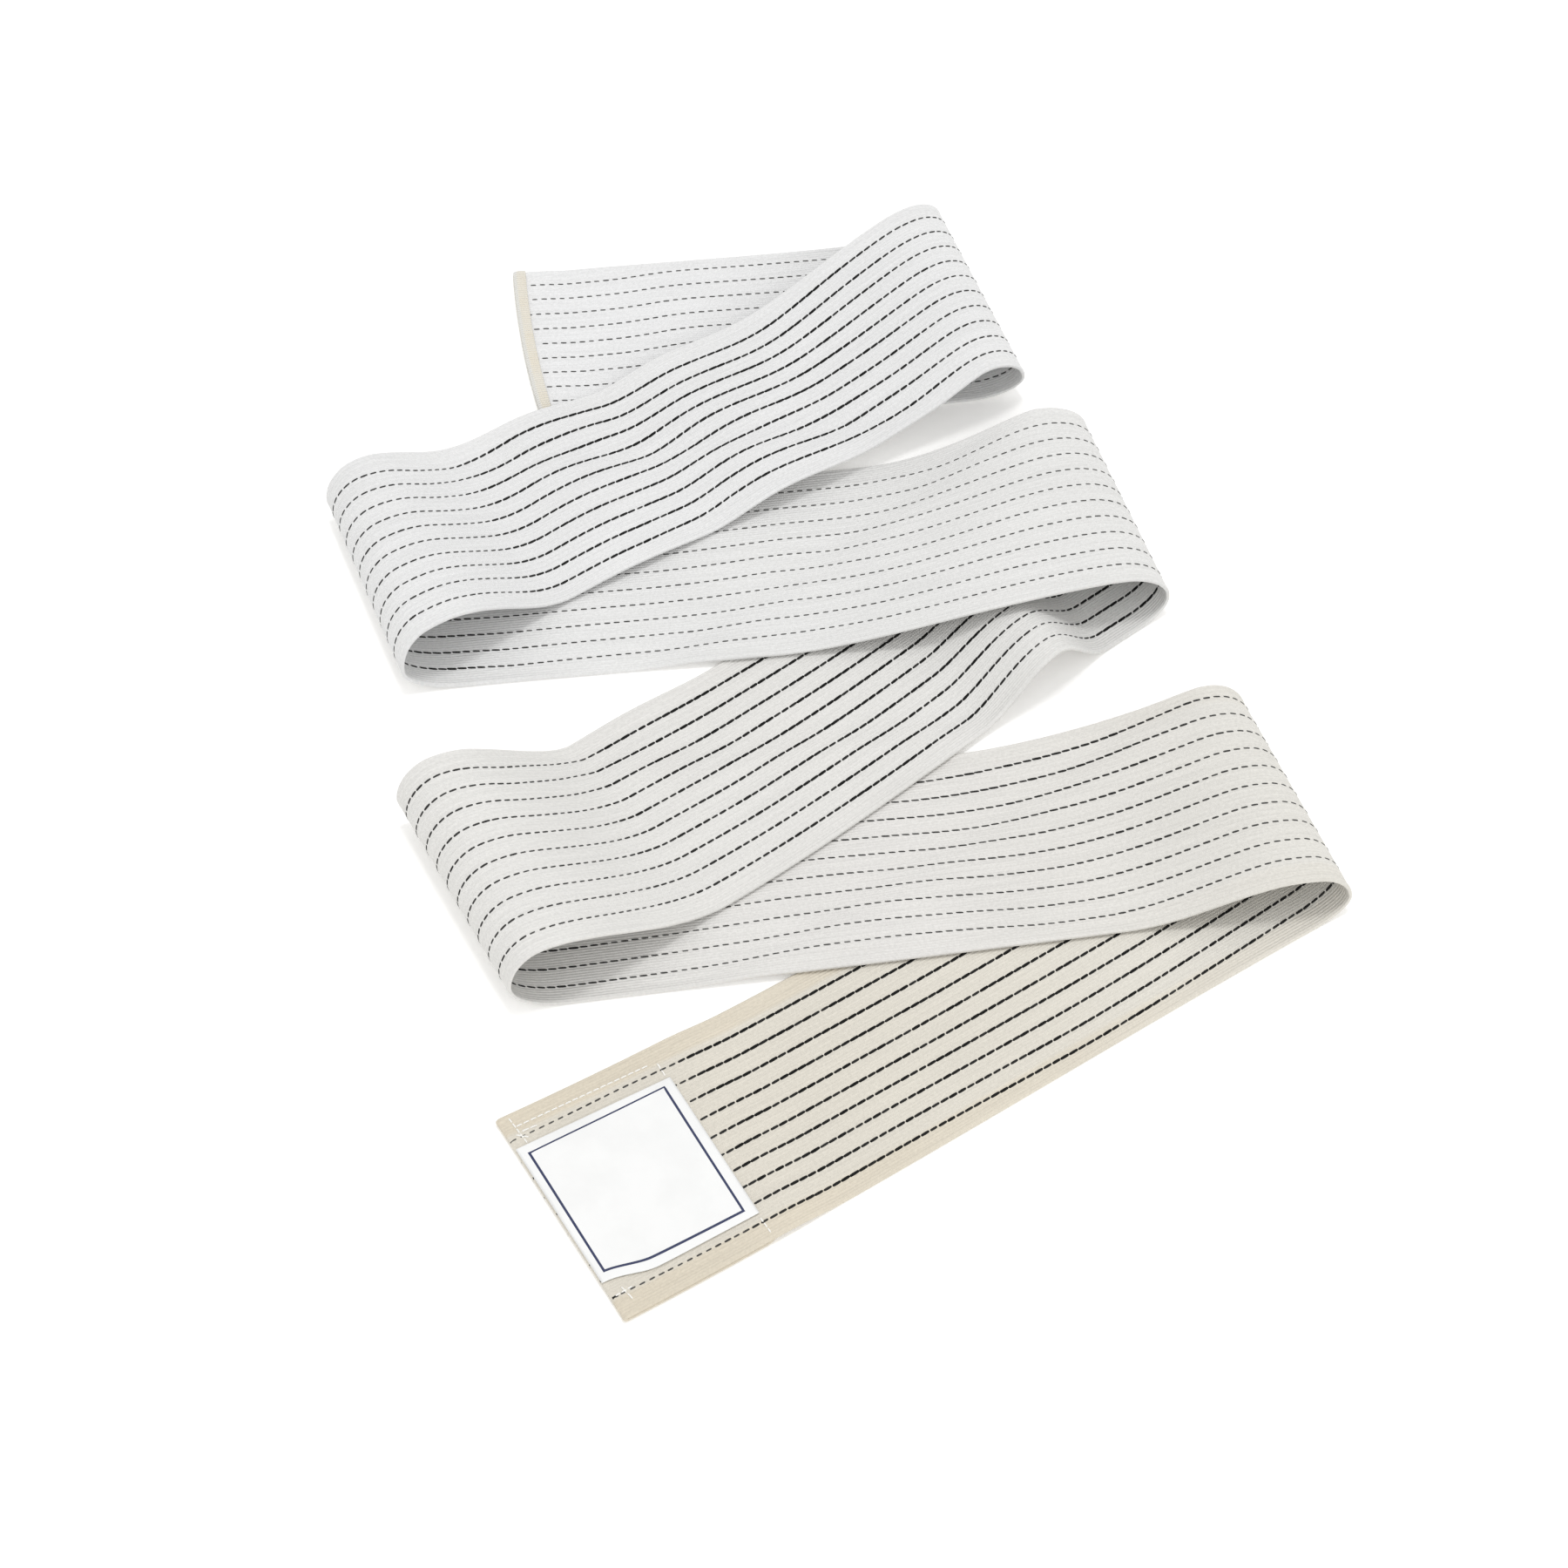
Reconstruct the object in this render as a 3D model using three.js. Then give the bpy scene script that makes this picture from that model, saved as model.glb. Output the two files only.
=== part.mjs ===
// A long woven elastic compression band lying on a floor in six loose zigzag passes.
// It has a hemmed end with a sewn-on label, five open fold loops and a bound tail.
// Millimetres, +Z up. X runs along the passes, Y along the fold lines, from label end to tail.
import * as THREE from 'three';

// Driving sizes
const WALL = 1.5; // thickness of the woven elastic
const GAP = 0.3; // clearance between layers and between pieces
const HEM_LENGTH = 70; // end turned under behind the label
const HEM_RAMP = 26; // stretch over which the band comes down from the hem to the floor
const LABEL = { from: -1.0, to: 66.5, near: [-34, -37.4], far: [35, 33], wall: 1.0, sag: 4.6 };
const BINDING = { wall: 1.0, leg: 4.0 };
const TAIL_RAMP = 18; // stretch over which the band comes down from the binding to the floor
const TAIL_BOW = 2.3; // outward bow of the tail's end line
const DRAPE = { rise: 2.2, margin: 4.0, ramp: 18 }; // a pass lying over the edge of a lower one
const LOOP_WAIST = 0.42; // height of a loop's outermost line, as a part of the loop's height
const CENTRE = { x: 12.771, y: 51.287 }; // middle of the whole outline in the tables' coordinates

// Steps of the faceted surface
const STEPS = { across: 8, quarter: 6, arm: 12, flat: 18, hem: 8, hemFold: 6 };

// Heights of the band's mid surface
const FLOOR = WALL / 2;
const HEM_RISE = WALL + GAP;
const TAIL_RISE = BINDING.wall + GAP;

// Lines across the band where it ends or turns back: the line's middle, its length along Y
// (span), and its lean, X per unit of Y.
const TURNS = [
  { at: 'label end', x: -154, y: -160, span: 101, lean: -0.16 },
  { at: 'right fold 1', x: 187, y: -87, span: 101, lean: -0.01 },
  { at: 'left fold 1', x: -146, y: -9, span: 105, lean: -0.11 },
  { at: 'right fold 2', x: 186, y: 80, span: 100, lean: 0.05 },
  { at: 'left fold 2', x: -129, y: 157, span: 103, lean: 0.0 },
  { at: 'right fold 3', x: 176, y: 216, span: 103, lean: 0.02 },
  { at: 'tail end', x: -17, y: 267, span: 92, lean: 0.19 },
];

// The loop at each fold. Pairs are [near edge, far edge]. The loop is crest high, back from its
// outermost line to the crest, toe from that line to where the lower arm lies flat, and reach to
// where the upper arm comes down; hold and land shape the upper arm's two ends.
const LOOPS = [
  { crest: [20, 26], back: 13, toe: 18, reach: [90, 124], hold: [0.42, 0.12], land: [0.38, 0.56] },
  { crest: [31, 33], back: 14, toe: 24, reach: [101, 74], hold: [0.35, 0.33], land: [0.33, 0.17] },
  { crest: [22, 24], back: 18, toe: 17, reach: [165, 95], hold: [0.43, 0.26], land: [0.28, 0.49] },
  { crest: [28, 25.8], back: 13, toe: 25, reach: [82, 83], hold: [0.48, 0.27], land: [0.32, 0.5] },
  { crest: [26, 29], back: 17, toe: 22, reach: [143, 137], hold: [0.12, 0.24], land: [0.6, 0.38] },
];

// Passes from the label end to the tail. Sway is the sideways drift a third of the way along,
// waist the change of width half way. Leaves and enters name the arm of the loop at each end.
// Over lists the lower passes that this one lies on, with the edge that it drapes across.
const PASSES = [
  { sway: -3, waist: -3, leaves: 'end', enters: 'low', over: [] },
  { sway: -1, waist: 0, leaves: 'high', enters: 'low', over: [{ pass: 0, edge: 1 }] },
  { sway: -15, waist: 2, leaves: 'high', enters: 'low', over: [{ pass: 1, edge: 1 }] },
  { sway: -5, waist: 1, leaves: 'high', enters: 'low', over: [{ pass: 2, edge: 1 }] },
  { sway: 0, waist: -6, leaves: 'high', enters: 'high', over: [{ pass: 3, edge: 1 }, { pass: 5, edge: 0 }] },
  { sway: -3, waist: 1, leaves: 'low', enters: 'end', over: [] },
];

// Ripples in a pass: crest line from x[0] at the near edge to x[1] at the far edge, its run to
// the left and right of the crest, its height at the two edges, and how fast it fades across.
const RIPPLES = [
  { pass: 2, x: [124, 112], run: [42, 28], height: [21, 0], fade: 1 },
  { pass: 2, x: [-50, -48], run: [40, 44], height: [0, 3.2], fade: 1 },
  { pass: 4, x: [56, 36], run: [40, 50], height: [7, 6], fade: 1 },
  { pass: 4, x: [-17, -38], run: [45, 45], height: [2.3, 6.5], fade: 1 },
];

const mix = (a, b, t) => a + (b - a) * t;

/** Eased step from 0 to 1. */
function ease(t) {
  const c = Math.min(Math.max(t, 0), 1);
  return c * c * (3 - 2 * c);
}

/** One arm of a loop as points (x, z), from the loop's outermost line inward along the pass. */
function loopArm(index, side, arm, edge) {
  const loop = LOOPS[index];
  const x = TURNS[index + 1].x;
  const crest = loop.crest[edge];
  const waist = mix(FLOOR, crest, LOOP_WAIST);
  const depth = arm === 'high' ? loop.back : loop.toe;
  const rise = arm === 'high' ? crest - waist : waist - FLOOR;
  const turn = arm === 'high' ? 1 : -1;
  const points = [];
  for (let i = 0; i <= STEPS.quarter; i += 1) {
    const angle = (i / STEPS.quarter) * (Math.PI / 2);
    points.push(new THREE.Vector2(
      x - side * depth * (1 - Math.cos(angle)),
      waist + turn * rise * Math.sin(angle),
    ));
  }
  if (arm === 'high') {
    const reach = loop.reach[edge];
    const run = reach - depth;
    const fall = new THREE.CubicBezierCurve(
      new THREE.Vector2(x - side * depth, crest),
      new THREE.Vector2(x - side * (depth + loop.hold[edge] * run), crest),
      new THREE.Vector2(x - side * (reach - loop.land[edge] * run), FLOOR),
      new THREE.Vector2(x - side * reach, FLOOR),
    );
    points.push(...fall.getPoints(STEPS.arm).slice(1));
  }
  return points;
}

/** One edge line of a pass, from turn to turn, before it drapes over anything. */
function edgeLine(index, edge) {
  const pass = PASSES[index];
  const start = TURNS[index];
  const stop = TURNS[index + 1];
  const heading = index % 2 === 0 ? 1 : -1;
  const head = pass.leaves === 'end'
    ? [new THREE.Vector2(start.x, FLOOR)]
    : loopArm(index - 1, -heading, pass.leaves, edge);
  const foot = pass.enters === 'end'
    ? [new THREE.Vector2(stop.x, FLOOR)]
    : loopArm(index, heading, pass.enters, edge).reverse();
  const flat = new THREE.LineCurve(head[head.length - 1], foot[0]).getPoints(STEPS.flat).slice(1, -1);
  const profile = [...head, ...flat, ...foot];
  const path = [0];
  for (let i = 1; i < profile.length; i += 1) {
    path.push(path[i - 1] + profile[i].distanceTo(profile[i - 1]));
  }
  const half = edge === 1 ? 0.5 : -0.5;
  return profile.map((point, i) => {
    const t = path[i] / path[path.length - 1];
    const span = mix(start.span, stop.span, t) + pass.waist * 4 * t * (1 - t);
    const lean = mix(start.lean, stop.lean, t);
    const drift = pass.sway * 6.75 * t * (1 - t) * (1 - t);
    return new THREE.Vector3(
      point.x + half * lean * span,
      mix(start.y, stop.y, t) + drift + half * span,
      point.y,
    );
  });
}

const EDGES = PASSES.map((pass, index) => [edgeLine(index, 0), edgeLine(index, 1)]);

/** Y of an edge line of a pass at a given X. */
function edgeY(index, edge, x) {
  const line = EDGES[index][edge];
  for (let i = 1; i < line.length; i += 1) {
    const a = line[i - 1];
    const b = line[i];
    if ((x - a.x) * (x - b.x) <= 0 && a.x !== b.x) {
      return mix(a.y, b.y, (x - a.x) / (b.x - a.x));
    }
  }
  const first = line[0];
  const last = line[line.length - 1];
  return Math.abs(x - first.x) < Math.abs(x - last.x) ? first.y : last.y;
}

/** How far a point of a pass is lifted by the edges of the passes under it. */
function drapeRise(index, point) {
  let lift = 0;
  for (const lower of PASSES[index].over) {
    const y = edgeY(lower.pass, lower.edge, point.x);
    const inside = lower.edge === 1 ? y - point.y : point.y - y;
    lift = Math.max(lift, ease((inside + DRAPE.margin + DRAPE.ramp) / DRAPE.ramp));
  }
  for (const turn of [TURNS[index], TURNS[index + 1]]) {
    lift = Math.min(lift, ease(Math.abs(point.x - turn.x) / 30));
  }
  return DRAPE.rise * lift;
}

/** Height of the ripples at a point of a pass, w across from the near to the far edge. */
function rippleRise(index, point, w) {
  let rise = 0;
  for (const ripple of RIPPLES.filter((row) => row.pass === index)) {
    const offset = point.x - mix(ripple.x[0], ripple.x[1], w);
    const t = offset < 0 ? -offset / ripple.run[0] : offset / ripple.run[1];
    const height = mix(ripple.height[0], ripple.height[1], 1 - (1 - w) ** ripple.fade);
    rise += t < 1 ? height * (0.5 + 0.5 * Math.cos(Math.PI * t)) : 0;
  }
  return rise;
}

/** The rows of mid surface points of one pass, each row from the near to the far edge. */
function passRows(index) {
  const [near, far] = EDGES[index];
  const count = near.length;
  return near.map((point, i) => {
    const row = [];
    for (let j = 0; j <= STEPS.across; j += 1) {
      const w = j / STEPS.across;
      const p = new THREE.Vector3().lerpVectors(point, far[i], w);
      p.z += drapeRise(index, p) + rippleRise(index, p, w);
      if (index === 0) {
        const end = new THREE.Vector3().lerpVectors(near[0], far[0], w);
        p.z += HEM_RISE * (1 - ease((Math.hypot(p.x - end.x, p.y - end.y) - HEM_LENGTH - 2) / HEM_RAMP));
      }
      if (index === PASSES.length - 1) {
        const end = new THREE.Vector3().lerpVectors(near[count - 1], far[count - 1], w);
        const away = Math.hypot(p.x - end.x, p.y - end.y);
        p.z += TAIL_RISE * (1 - ease((away - BINDING.leg - 2) / TAIL_RAMP));
        p.x -= TAIL_BOW * 4 * w * (1 - w) * (1 - ease(away / 60));
      }
      row.push(p);
    }
    return row;
  });
}

/** Local frame at the label end: the end line's middle, along the pass, and across it. */
const labelEnd = (() => {
  const [near, far] = EDGES[0];
  const middle = new THREE.Vector3().lerpVectors(near[0], far[0], 0.5);
  const onward = new THREE.Vector3().lerpVectors(near[4], far[4], 0.5);
  const along = onward.sub(middle).setZ(0).normalize();
  const across = new THREE.Vector3(-along.y, along.x, 0);
  return { middle: middle.setZ(0), along, across };
})();

/** Rows of the turned-under hem, from its free edge to the fold at the label end. */
function hemRows(first) {
  const rows = [];
  const radius = HEM_RISE / 2;
  for (let i = 0; i <= STEPS.hem; i += 1) {
    const inward = HEM_LENGTH * (1 - i / STEPS.hem);
    rows.push(first.map((p) => p.clone().addScaledVector(labelEnd.along, inward).setZ(FLOOR)));
  }
  for (let i = 1; i < STEPS.hemFold; i += 1) {
    const angle = (i / STEPS.hemFold) * Math.PI;
    const out = -radius * Math.sin(angle);
    const z = FLOOR + radius * (1 - Math.cos(angle));
    rows.push(first.map((p) => p.clone().addScaledVector(labelEnd.along, out).setZ(z)));
  }
  return rows;
}

/** A closed sheet of the given wall around rows of mid surface points. */
function sheetGeometry(rows, wall) {
  const m = rows.length;
  const n = rows[0].length;
  const sides = [[], []];
  for (let i = 0; i < m; i += 1) {
    for (let j = 0; j < n; j += 1) {
      const du = rows[Math.min(i + 1, m - 1)][j].clone().sub(rows[Math.max(i - 1, 0)][j]);
      const dw = rows[i][Math.min(j + 1, n - 1)].clone().sub(rows[i][Math.max(j - 1, 0)]);
      const normal = du.cross(dw).normalize();
      sides[0].push(rows[i][j].clone().addScaledVector(normal, wall / 2));
      sides[1].push(rows[i][j].clone().addScaledVector(normal, -wall / 2));
    }
  }
  const index = [];
  const top = (i, j) => i * n + j;
  const low = (i, j) => m * n + i * n + j;
  const quad = (a, b, c, d) => index.push(a, b, c, a, c, d);
  for (let i = 0; i < m - 1; i += 1) {
    for (let j = 0; j < n - 1; j += 1) {
      quad(top(i, j), top(i + 1, j), top(i + 1, j + 1), top(i, j + 1));
      quad(low(i, j), low(i, j + 1), low(i + 1, j + 1), low(i + 1, j));
    }
    quad(top(i, 0), low(i, 0), low(i + 1, 0), top(i + 1, 0));
    quad(top(i, n - 1), top(i + 1, n - 1), low(i + 1, n - 1), low(i, n - 1));
  }
  for (let j = 0; j < n - 1; j += 1) {
    quad(top(0, j), top(0, j + 1), low(0, j + 1), low(0, j));
    quad(top(m - 1, j), low(m - 1, j), low(m - 1, j + 1), top(m - 1, j + 1));
  }
  const geometry = new THREE.BufferGeometry();
  geometry.setFromPoints([...sides[0], ...sides[1]]);
  geometry.setIndex(index);
  return geometry;
}

/** The band: hem, then the six passes, each pass starting on the last line of the one before. */
function bandRows() {
  const first = passRows(0);
  const rows = [...hemRows(first[0]), ...first];
  for (let index = 1; index < PASSES.length; index += 1) {
    rows.push(...passRows(index).slice(1));
  }
  return rows;
}

/** The label lies on the hemmed end; its near edge sags a little towards the band's edge. */
function labelRows() {
  const z = FLOOR + HEM_RISE + WALL / 2 + GAP + LABEL.wall / 2;
  const rows = [];
  const count = 10;
  for (let i = 0; i <= count; i += 1) {
    const t = i / count;
    const near = mix(...LABEL.near, t) - LABEL.sag * Math.sin(Math.PI * t ** 0.7);
    const far = mix(...LABEL.far, t);
    const row = [];
    for (let j = 0; j <= 2; j += 1) {
      row.push(labelEnd.middle.clone()
        .addScaledVector(labelEnd.along, mix(LABEL.from, LABEL.to, t))
        .addScaledVector(labelEnd.across, mix(near, far, j / 2))
        .setZ(z));
    }
    rows.push(row);
  }
  return rows;
}

/** The binding: a U-shaped strip closed round the tail's end line. */
function bindingGeometry(tail) {
  const n = tail.length;
  const reach = BINDING.wall + GAP;
  const half = WALL / 2 + GAP;
  // U section as (outward from the end line, height from the band's mid surface)
  const section = [
    [-BINDING.leg, half], [-BINDING.leg, half + BINDING.wall],
    [reach, half + BINDING.wall], [reach, -half - BINDING.wall],
    [-BINDING.leg, -half - BINDING.wall], [-BINDING.leg, -half],
    [GAP, -half], [GAP, half],
  ];
  const points = [];
  for (let j = 0; j < n; j += 1) {
    const run = tail[Math.min(j + 1, n - 1)].clone().sub(tail[Math.max(j - 1, 0)]).setZ(0).normalize();
    const out = new THREE.Vector3(-run.y, run.x, 0);
    for (const [outward, height] of section) {
      const p = tail[j].clone().addScaledVector(out, outward);
      points.push(p.setZ(p.z + height));
    }
  }
  const s = section.length;
  const index = [];
  for (let j = 0; j < n - 1; j += 1) {
    for (let k = 0; k < s; k += 1) {
      const a = j * s + k;
      const b = j * s + ((k + 1) % s);
      index.push(a, b + s, b, a, a + s, b + s);
    }
  }
  const cap = THREE.ShapeUtils.triangulateShape(section.map(([x, y]) => new THREE.Vector2(x, y)), []);
  const last = (n - 1) * s;
  for (const [a, b, c] of cap) {
    index.push(a, c, b);
    index.push(last + a, last + b, last + c);
  }
  const geometry = new THREE.BufferGeometry();
  geometry.setFromPoints(points);
  geometry.setIndex(index);
  return geometry;
}

/** A named piece with its own material. */
function piece(name, geometry, color, roughness) {
  const material = new THREE.MeshStandardMaterial({ color, roughness, metalness: 0 });
  const mesh = new THREE.Mesh(geometry, material);
  mesh.name = name;
  return mesh;
}

const rows = bandRows();
const band = new THREE.Group();
band.add(piece('elastic_band', sheetGeometry(rows, WALL), 0xe6e2da, 0.9));
band.add(piece('label', sheetGeometry(labelRows(), LABEL.wall), 0xf4f5f6, 0.5));
band.add(piece('tail_binding', bindingGeometry(rows[rows.length - 1]), 0xe9e0c9, 0.85));
band.position.set(-CENTRE.x, -CENTRE.y, 0);

export default band;
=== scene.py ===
"""Looks of a long woven elastic compression band that lies in six loose zigzag passes.

The band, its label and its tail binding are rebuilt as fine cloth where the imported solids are, with
pattern yarns, hem stitches and overlocking threads. Tables are in millimetres and meshes in metres.
"""

from __future__ import annotations

import logging
import math
from dataclasses import dataclass, field
from enum import Enum, IntEnum
from functools import cache, cached_property

import bpy
import numpy as np
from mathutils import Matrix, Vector


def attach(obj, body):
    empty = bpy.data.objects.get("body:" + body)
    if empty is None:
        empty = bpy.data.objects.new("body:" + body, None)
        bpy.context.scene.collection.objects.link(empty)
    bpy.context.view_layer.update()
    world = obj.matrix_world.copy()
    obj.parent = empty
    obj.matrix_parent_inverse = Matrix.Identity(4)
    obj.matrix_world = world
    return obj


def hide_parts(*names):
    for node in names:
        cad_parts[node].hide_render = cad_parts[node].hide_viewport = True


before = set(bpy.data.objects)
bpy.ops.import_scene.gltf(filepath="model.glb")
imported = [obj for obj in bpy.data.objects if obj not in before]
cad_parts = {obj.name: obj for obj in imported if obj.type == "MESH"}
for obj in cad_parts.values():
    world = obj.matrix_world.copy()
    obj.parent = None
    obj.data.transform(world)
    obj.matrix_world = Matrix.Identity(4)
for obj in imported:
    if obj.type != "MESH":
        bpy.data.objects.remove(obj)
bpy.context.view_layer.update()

LOG = logging.getLogger("elastic_band")
BODY = "root"
MM = 0.001
BAND_WIDTH = 100.0
Pair = tuple[float, float]
Triple = tuple[float, float, float]
Colour = tuple[float, float, float]
Array = np.ndarray

# A thread's ends are drawn in to a share, and its rings are set upright by a line that no thread runs along.
THREAD_TIP = 0.35
THREAD_UP = (0.13, 0.07, 1.0)


class Edge(IntEnum):
    """The band's two long edges, as the passes lie."""

    NEAR = 0
    FAR = 1


class Arm(Enum):
    """How a pass leaves or enters the turn at its end."""

    END = "end"
    LOW = "low"
    HIGH = "high"


class Face(Enum):
    """The band's two faces: the bold one is up on the first pass."""

    BOLD = 1
    FINE = -1


@dataclass(frozen=True)
class Turn:
    """A line across the band where it ends or turns back.

    span is the band's width there, and lean how far its far end is ahead in x, as a share of the span.
    """

    x: float
    y: float
    span: float
    lean: float


@dataclass(frozen=True)
class Loop:
    """The open loop at a fold; pairs are (near edge, far edge).

    crest is its height. back and toe are the depths of its upper and lower quarter. The upper arm comes down
    within reach of the turn, and hold and land, as shares of that run, shape its fall.
    """

    crest: Pair
    back: float
    toe: float
    reach: Pair
    hold: Pair
    land: Pair


@dataclass(frozen=True)
class Pass:
    """One pass from turn to turn, with the lower passes whose edges it drapes across.

    sway bends it towards the far edge and waist widens its middle.
    """

    sway: float
    waist: float
    leaves: Arm
    enters: Arm
    over: tuple[tuple[int, Edge], ...] = ()


@dataclass(frozen=True)
class Ripple:
    """A ripple across a pass; x and height are at the (near, far) edges, run is (left, right)."""

    at_pass: int
    x: Pair
    run: Pair
    height: Pair


@dataclass(frozen=True)
class Boldness:
    """How bold the dashes of a pass's upper face are at one place, at the far and near edges."""

    at_pass: int
    x: float
    far: float
    near: float


@dataclass(frozen=True)
class Drift:
    """How far the pattern lines of a pass wander at one place, in millimetres towards the far edge."""

    at_pass: int
    x: float
    near: float
    middle: float
    far: float


@dataclass(frozen=True)
class ClothTone:
    """Colour of the cloth at a place along the band, counted in passes from the label end."""

    at: float
    colour: Colour


TURNS = (
    Turn(-154, -160, 101, -0.16),
    Turn(187, -87, 101, -0.01),
    Turn(-146, -9, 105, -0.11),
    Turn(186, 80, 100, 0.05),
    Turn(-129, 157, 103, 0.0),
    Turn(176, 216, 103, 0.02),
    Turn(-17, 267, 92, 0.19),
)
LOOPS = (
    Loop((20, 26), 13, 18, (90, 124), (0.42, 0.12), (0.38, 0.56)),
    Loop((31, 33), 14, 24, (101, 74), (0.35, 0.33), (0.33, 0.17)),
    Loop((22, 24), 18, 17, (165, 95), (0.43, 0.26), (0.28, 0.49)),
    Loop((28, 25.8), 13, 25, (82, 83), (0.48, 0.27), (0.32, 0.50)),
    Loop((26, 29), 17, 22, (143, 137), (0.12, 0.24), (0.60, 0.38)),
)
PASSES = (
    Pass(-3, -3, Arm.END, Arm.LOW),
    Pass(-1, 0, Arm.HIGH, Arm.LOW, ((0, Edge.FAR),)),
    Pass(-15, 2, Arm.HIGH, Arm.LOW, ((1, Edge.FAR),)),
    Pass(-5, 1, Arm.HIGH, Arm.LOW, ((2, Edge.FAR),)),
    Pass(0, -6, Arm.HIGH, Arm.HIGH, ((3, Edge.FAR), (5, Edge.NEAR))),
    Pass(-3, 1, Arm.LOW, Arm.END),
)
RIPPLES = (
    Ripple(2, (124, 112), (42, 28), (21, 0)),
    Ripple(2, (-50, -48), (40, 44), (0, 3.2)),
    Ripple(4, (56, 36), (40, 50), (7, 6)),
    Ripple(4, (-17, -38), (45, 45), (2.3, 6.5)),
)
BOLDNESS = tuple(
    Boldness(at_pass, *row)
    for at_pass, rows in enumerate(
        (
            (
                (-154, 0.15, 0.1), (-138, 0.45, 0.3), (-92, 0.6, 0.5), (-80, 1.0, 0.9), (187, 1.0, 0.9),
            ),
            (
                (-146, 0.72, 0.72), (-110, 0.6, 0.75), (-60, 0.45, 0.35), (40, 0.75, 0.45),
                (130, 0.9, 0.55), (168, 0.6, 0.35), (187, 0.25, 0.2),
            ),
            (
                (-146, 0.75, 0.7), (-118, 0.6, 0.45), (-80, 0.45, 0.4), (-66, 0.95, 0.6), (-20, 1.0, 0.75),
                (40, 1.0, 0.95), (104, 1.0, 0.9), (132, 1.0, 0.25), (152, 1.0, 0.95), (186, 1.0, 0.9),
            ),
            (
                (-129, 0.65, 0.65), (-105, 0.6, 0.85), (-60, 0.45, 0.35), (60, 0.35, 0.3), (186, 0.2, 0.35),
            ),
            (
                (-129, 0.7, 0.65), (-100, 0.5, 0.5), (-76, 0.4, 0.35), (-62, 0.88, 0.8), (20, 0.92, 0.9),
                (110, 0.93, 0.9), (150, 0.75, 0.7), (176, 0.45, 0.45),
            ),
            (
                (-19, 0.3, 0.4), (176, 0.35, 0.5),
            ),
        )
    )
    for row in rows
)
DRIFTS = tuple(
    Drift(at_pass, *row)
    for at_pass, rows in enumerate(
        (
            (
                (-154, 0, -2.5, -1.6), (-101, -1.3, -3.3, -1.2), (-89, -1.7, -3.9, -2.4),
                (-66, -1.7, -3, -2.1), (-19, -1.8, -3.1, -1.8), (17, -2.7, -3.4, -1.8),
                (63, -4.2, -3.3, -1), (98, -3.5, -3.2, -0.5), (134, -1.8, -2, 0), (160, -0.3, 0, 1.5),
                (187, 1.7, 3.5, 3.5),
            ),
            (
                (-146, -1.7, -0.8, 0.8), (-113, -1.8, -2, -1.5), (-77, -1, -0.8, -0.6), (-54, 0, 0, 0),
                (-25, 1.4, 1.2, 0.3), (4, 1.6, 1, -0.8), (35, 0, -0.4, -1.4), (56, -1.9, -1.8, -2.4),
                (75, -1.7, -2, -2), (98, -0.7, -0.7, 0), (121, 0.2, 0.5, 1), (143, 0.9, 2.1, 2.8),
                (165, 1.8, 3.6, 4), (187, 1.7, 3.5, 3.5),
            ),
            (
                (-146, -1.7, -0.8, 0.8), (-127, -1.2, -0.6, 0.6), (-105, -0.6, -0.6, -1.3),
                (-85, 0.5, 0, 0.2), (-70, 0.8, 0.2, 1.4), (-51, 0.4, -0.1, -0.2), (-28, 0.3, 0, -0.1),
                (0, 0, 0.5, 1), (41, -0.3, 0.5, 0.4), (63, 0, 1.1, 0.4), (97, 1.2, 2.4, 1.4),
                (119, 0.4, 0.3, 0.3), (151, -1, -0.7, 0), (186, -1, 0.2, 0.9),
            ),
            (
                (-129, -0.2, 0.4, 0.6), (-102, -0.7, -0.7, -0.5), (-79, -1.8, -1.8, -1.6),
                (-44, -1.1, -1.8, -1.8), (-9, -0.7, -2.1, -2), (14, -0.7, -1, -0.2), (37, -0.1, 1.2, 0.2),
                (49, 0.4, 1, -0.2), (72, 0.8, -0.3, 0.6), (95, -0.4, -1.1, -0.9), (117, -0.7, -0.8, -0.8),
                (145, -0.2, 0.6, 0.2), (163, -0.7, 0.4, 0.7), (186, -1, 0.2, 0.9),
            ),
            (
                (-129, -0.2, 0.4, 0.6), (-109, -0.7, -0.8, -1), (-87, -0.6, -1.9, -2.7),
                (-66, -1, -1, -0.5), (-43, -1.1, -0.2, 0.8), (-8, -1.1, 0.7, 1.2), (15, 0.2, 1.6, -0.6),
                (40, 1.6, 1.8, -1), (74, 0.6, 1, -1.6), (97, 0, 0.9, -0.6), (120, -1.6, 0.3, 1.2),
                (142, -1.3, 0.2, 1.6), (176, -1, 0.4, 1.4),
            ),
            (
                (-17, -3, -1.8, 0.9), (10, -2.7, -1.3, 0.9), (22, -2.4, -1.1, 0.9), (33, -1, 0.1, 1.7),
                (45, 0.8, 2.2, 3.2), (56, 2, 3.2, 3.7), (80, 2, 3.2, 3.5), (114, 1, 2.5, 3.2),
                (176, -1, 0.4, 1.4),
            ),
        )
    )
    for row in rows
)
CLOTH_TONES = (
    ClothTone(0.0, (0.672, 0.632, 0.551)),
    ClothTone(0.6, (0.693, 0.661, 0.588)),
    ClothTone(1.0, (0.690, 0.674, 0.630)),
    ClothTone(1.5, (0.716, 0.702, 0.679)),
    ClothTone(2.0, (0.729, 0.720, 0.697)),
    ClothTone(2.5, (0.710, 0.700, 0.675)),
    ClothTone(3.0, (0.722, 0.718, 0.704)),
    ClothTone(3.5, (0.729, 0.727, 0.718)),
    ClothTone(4.0, (0.743, 0.743, 0.741)),
    ClothTone(5.0, (0.740, 0.740, 0.738)),
    ClothTone(6.0, (0.766, 0.766, 0.768)),
)


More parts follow.
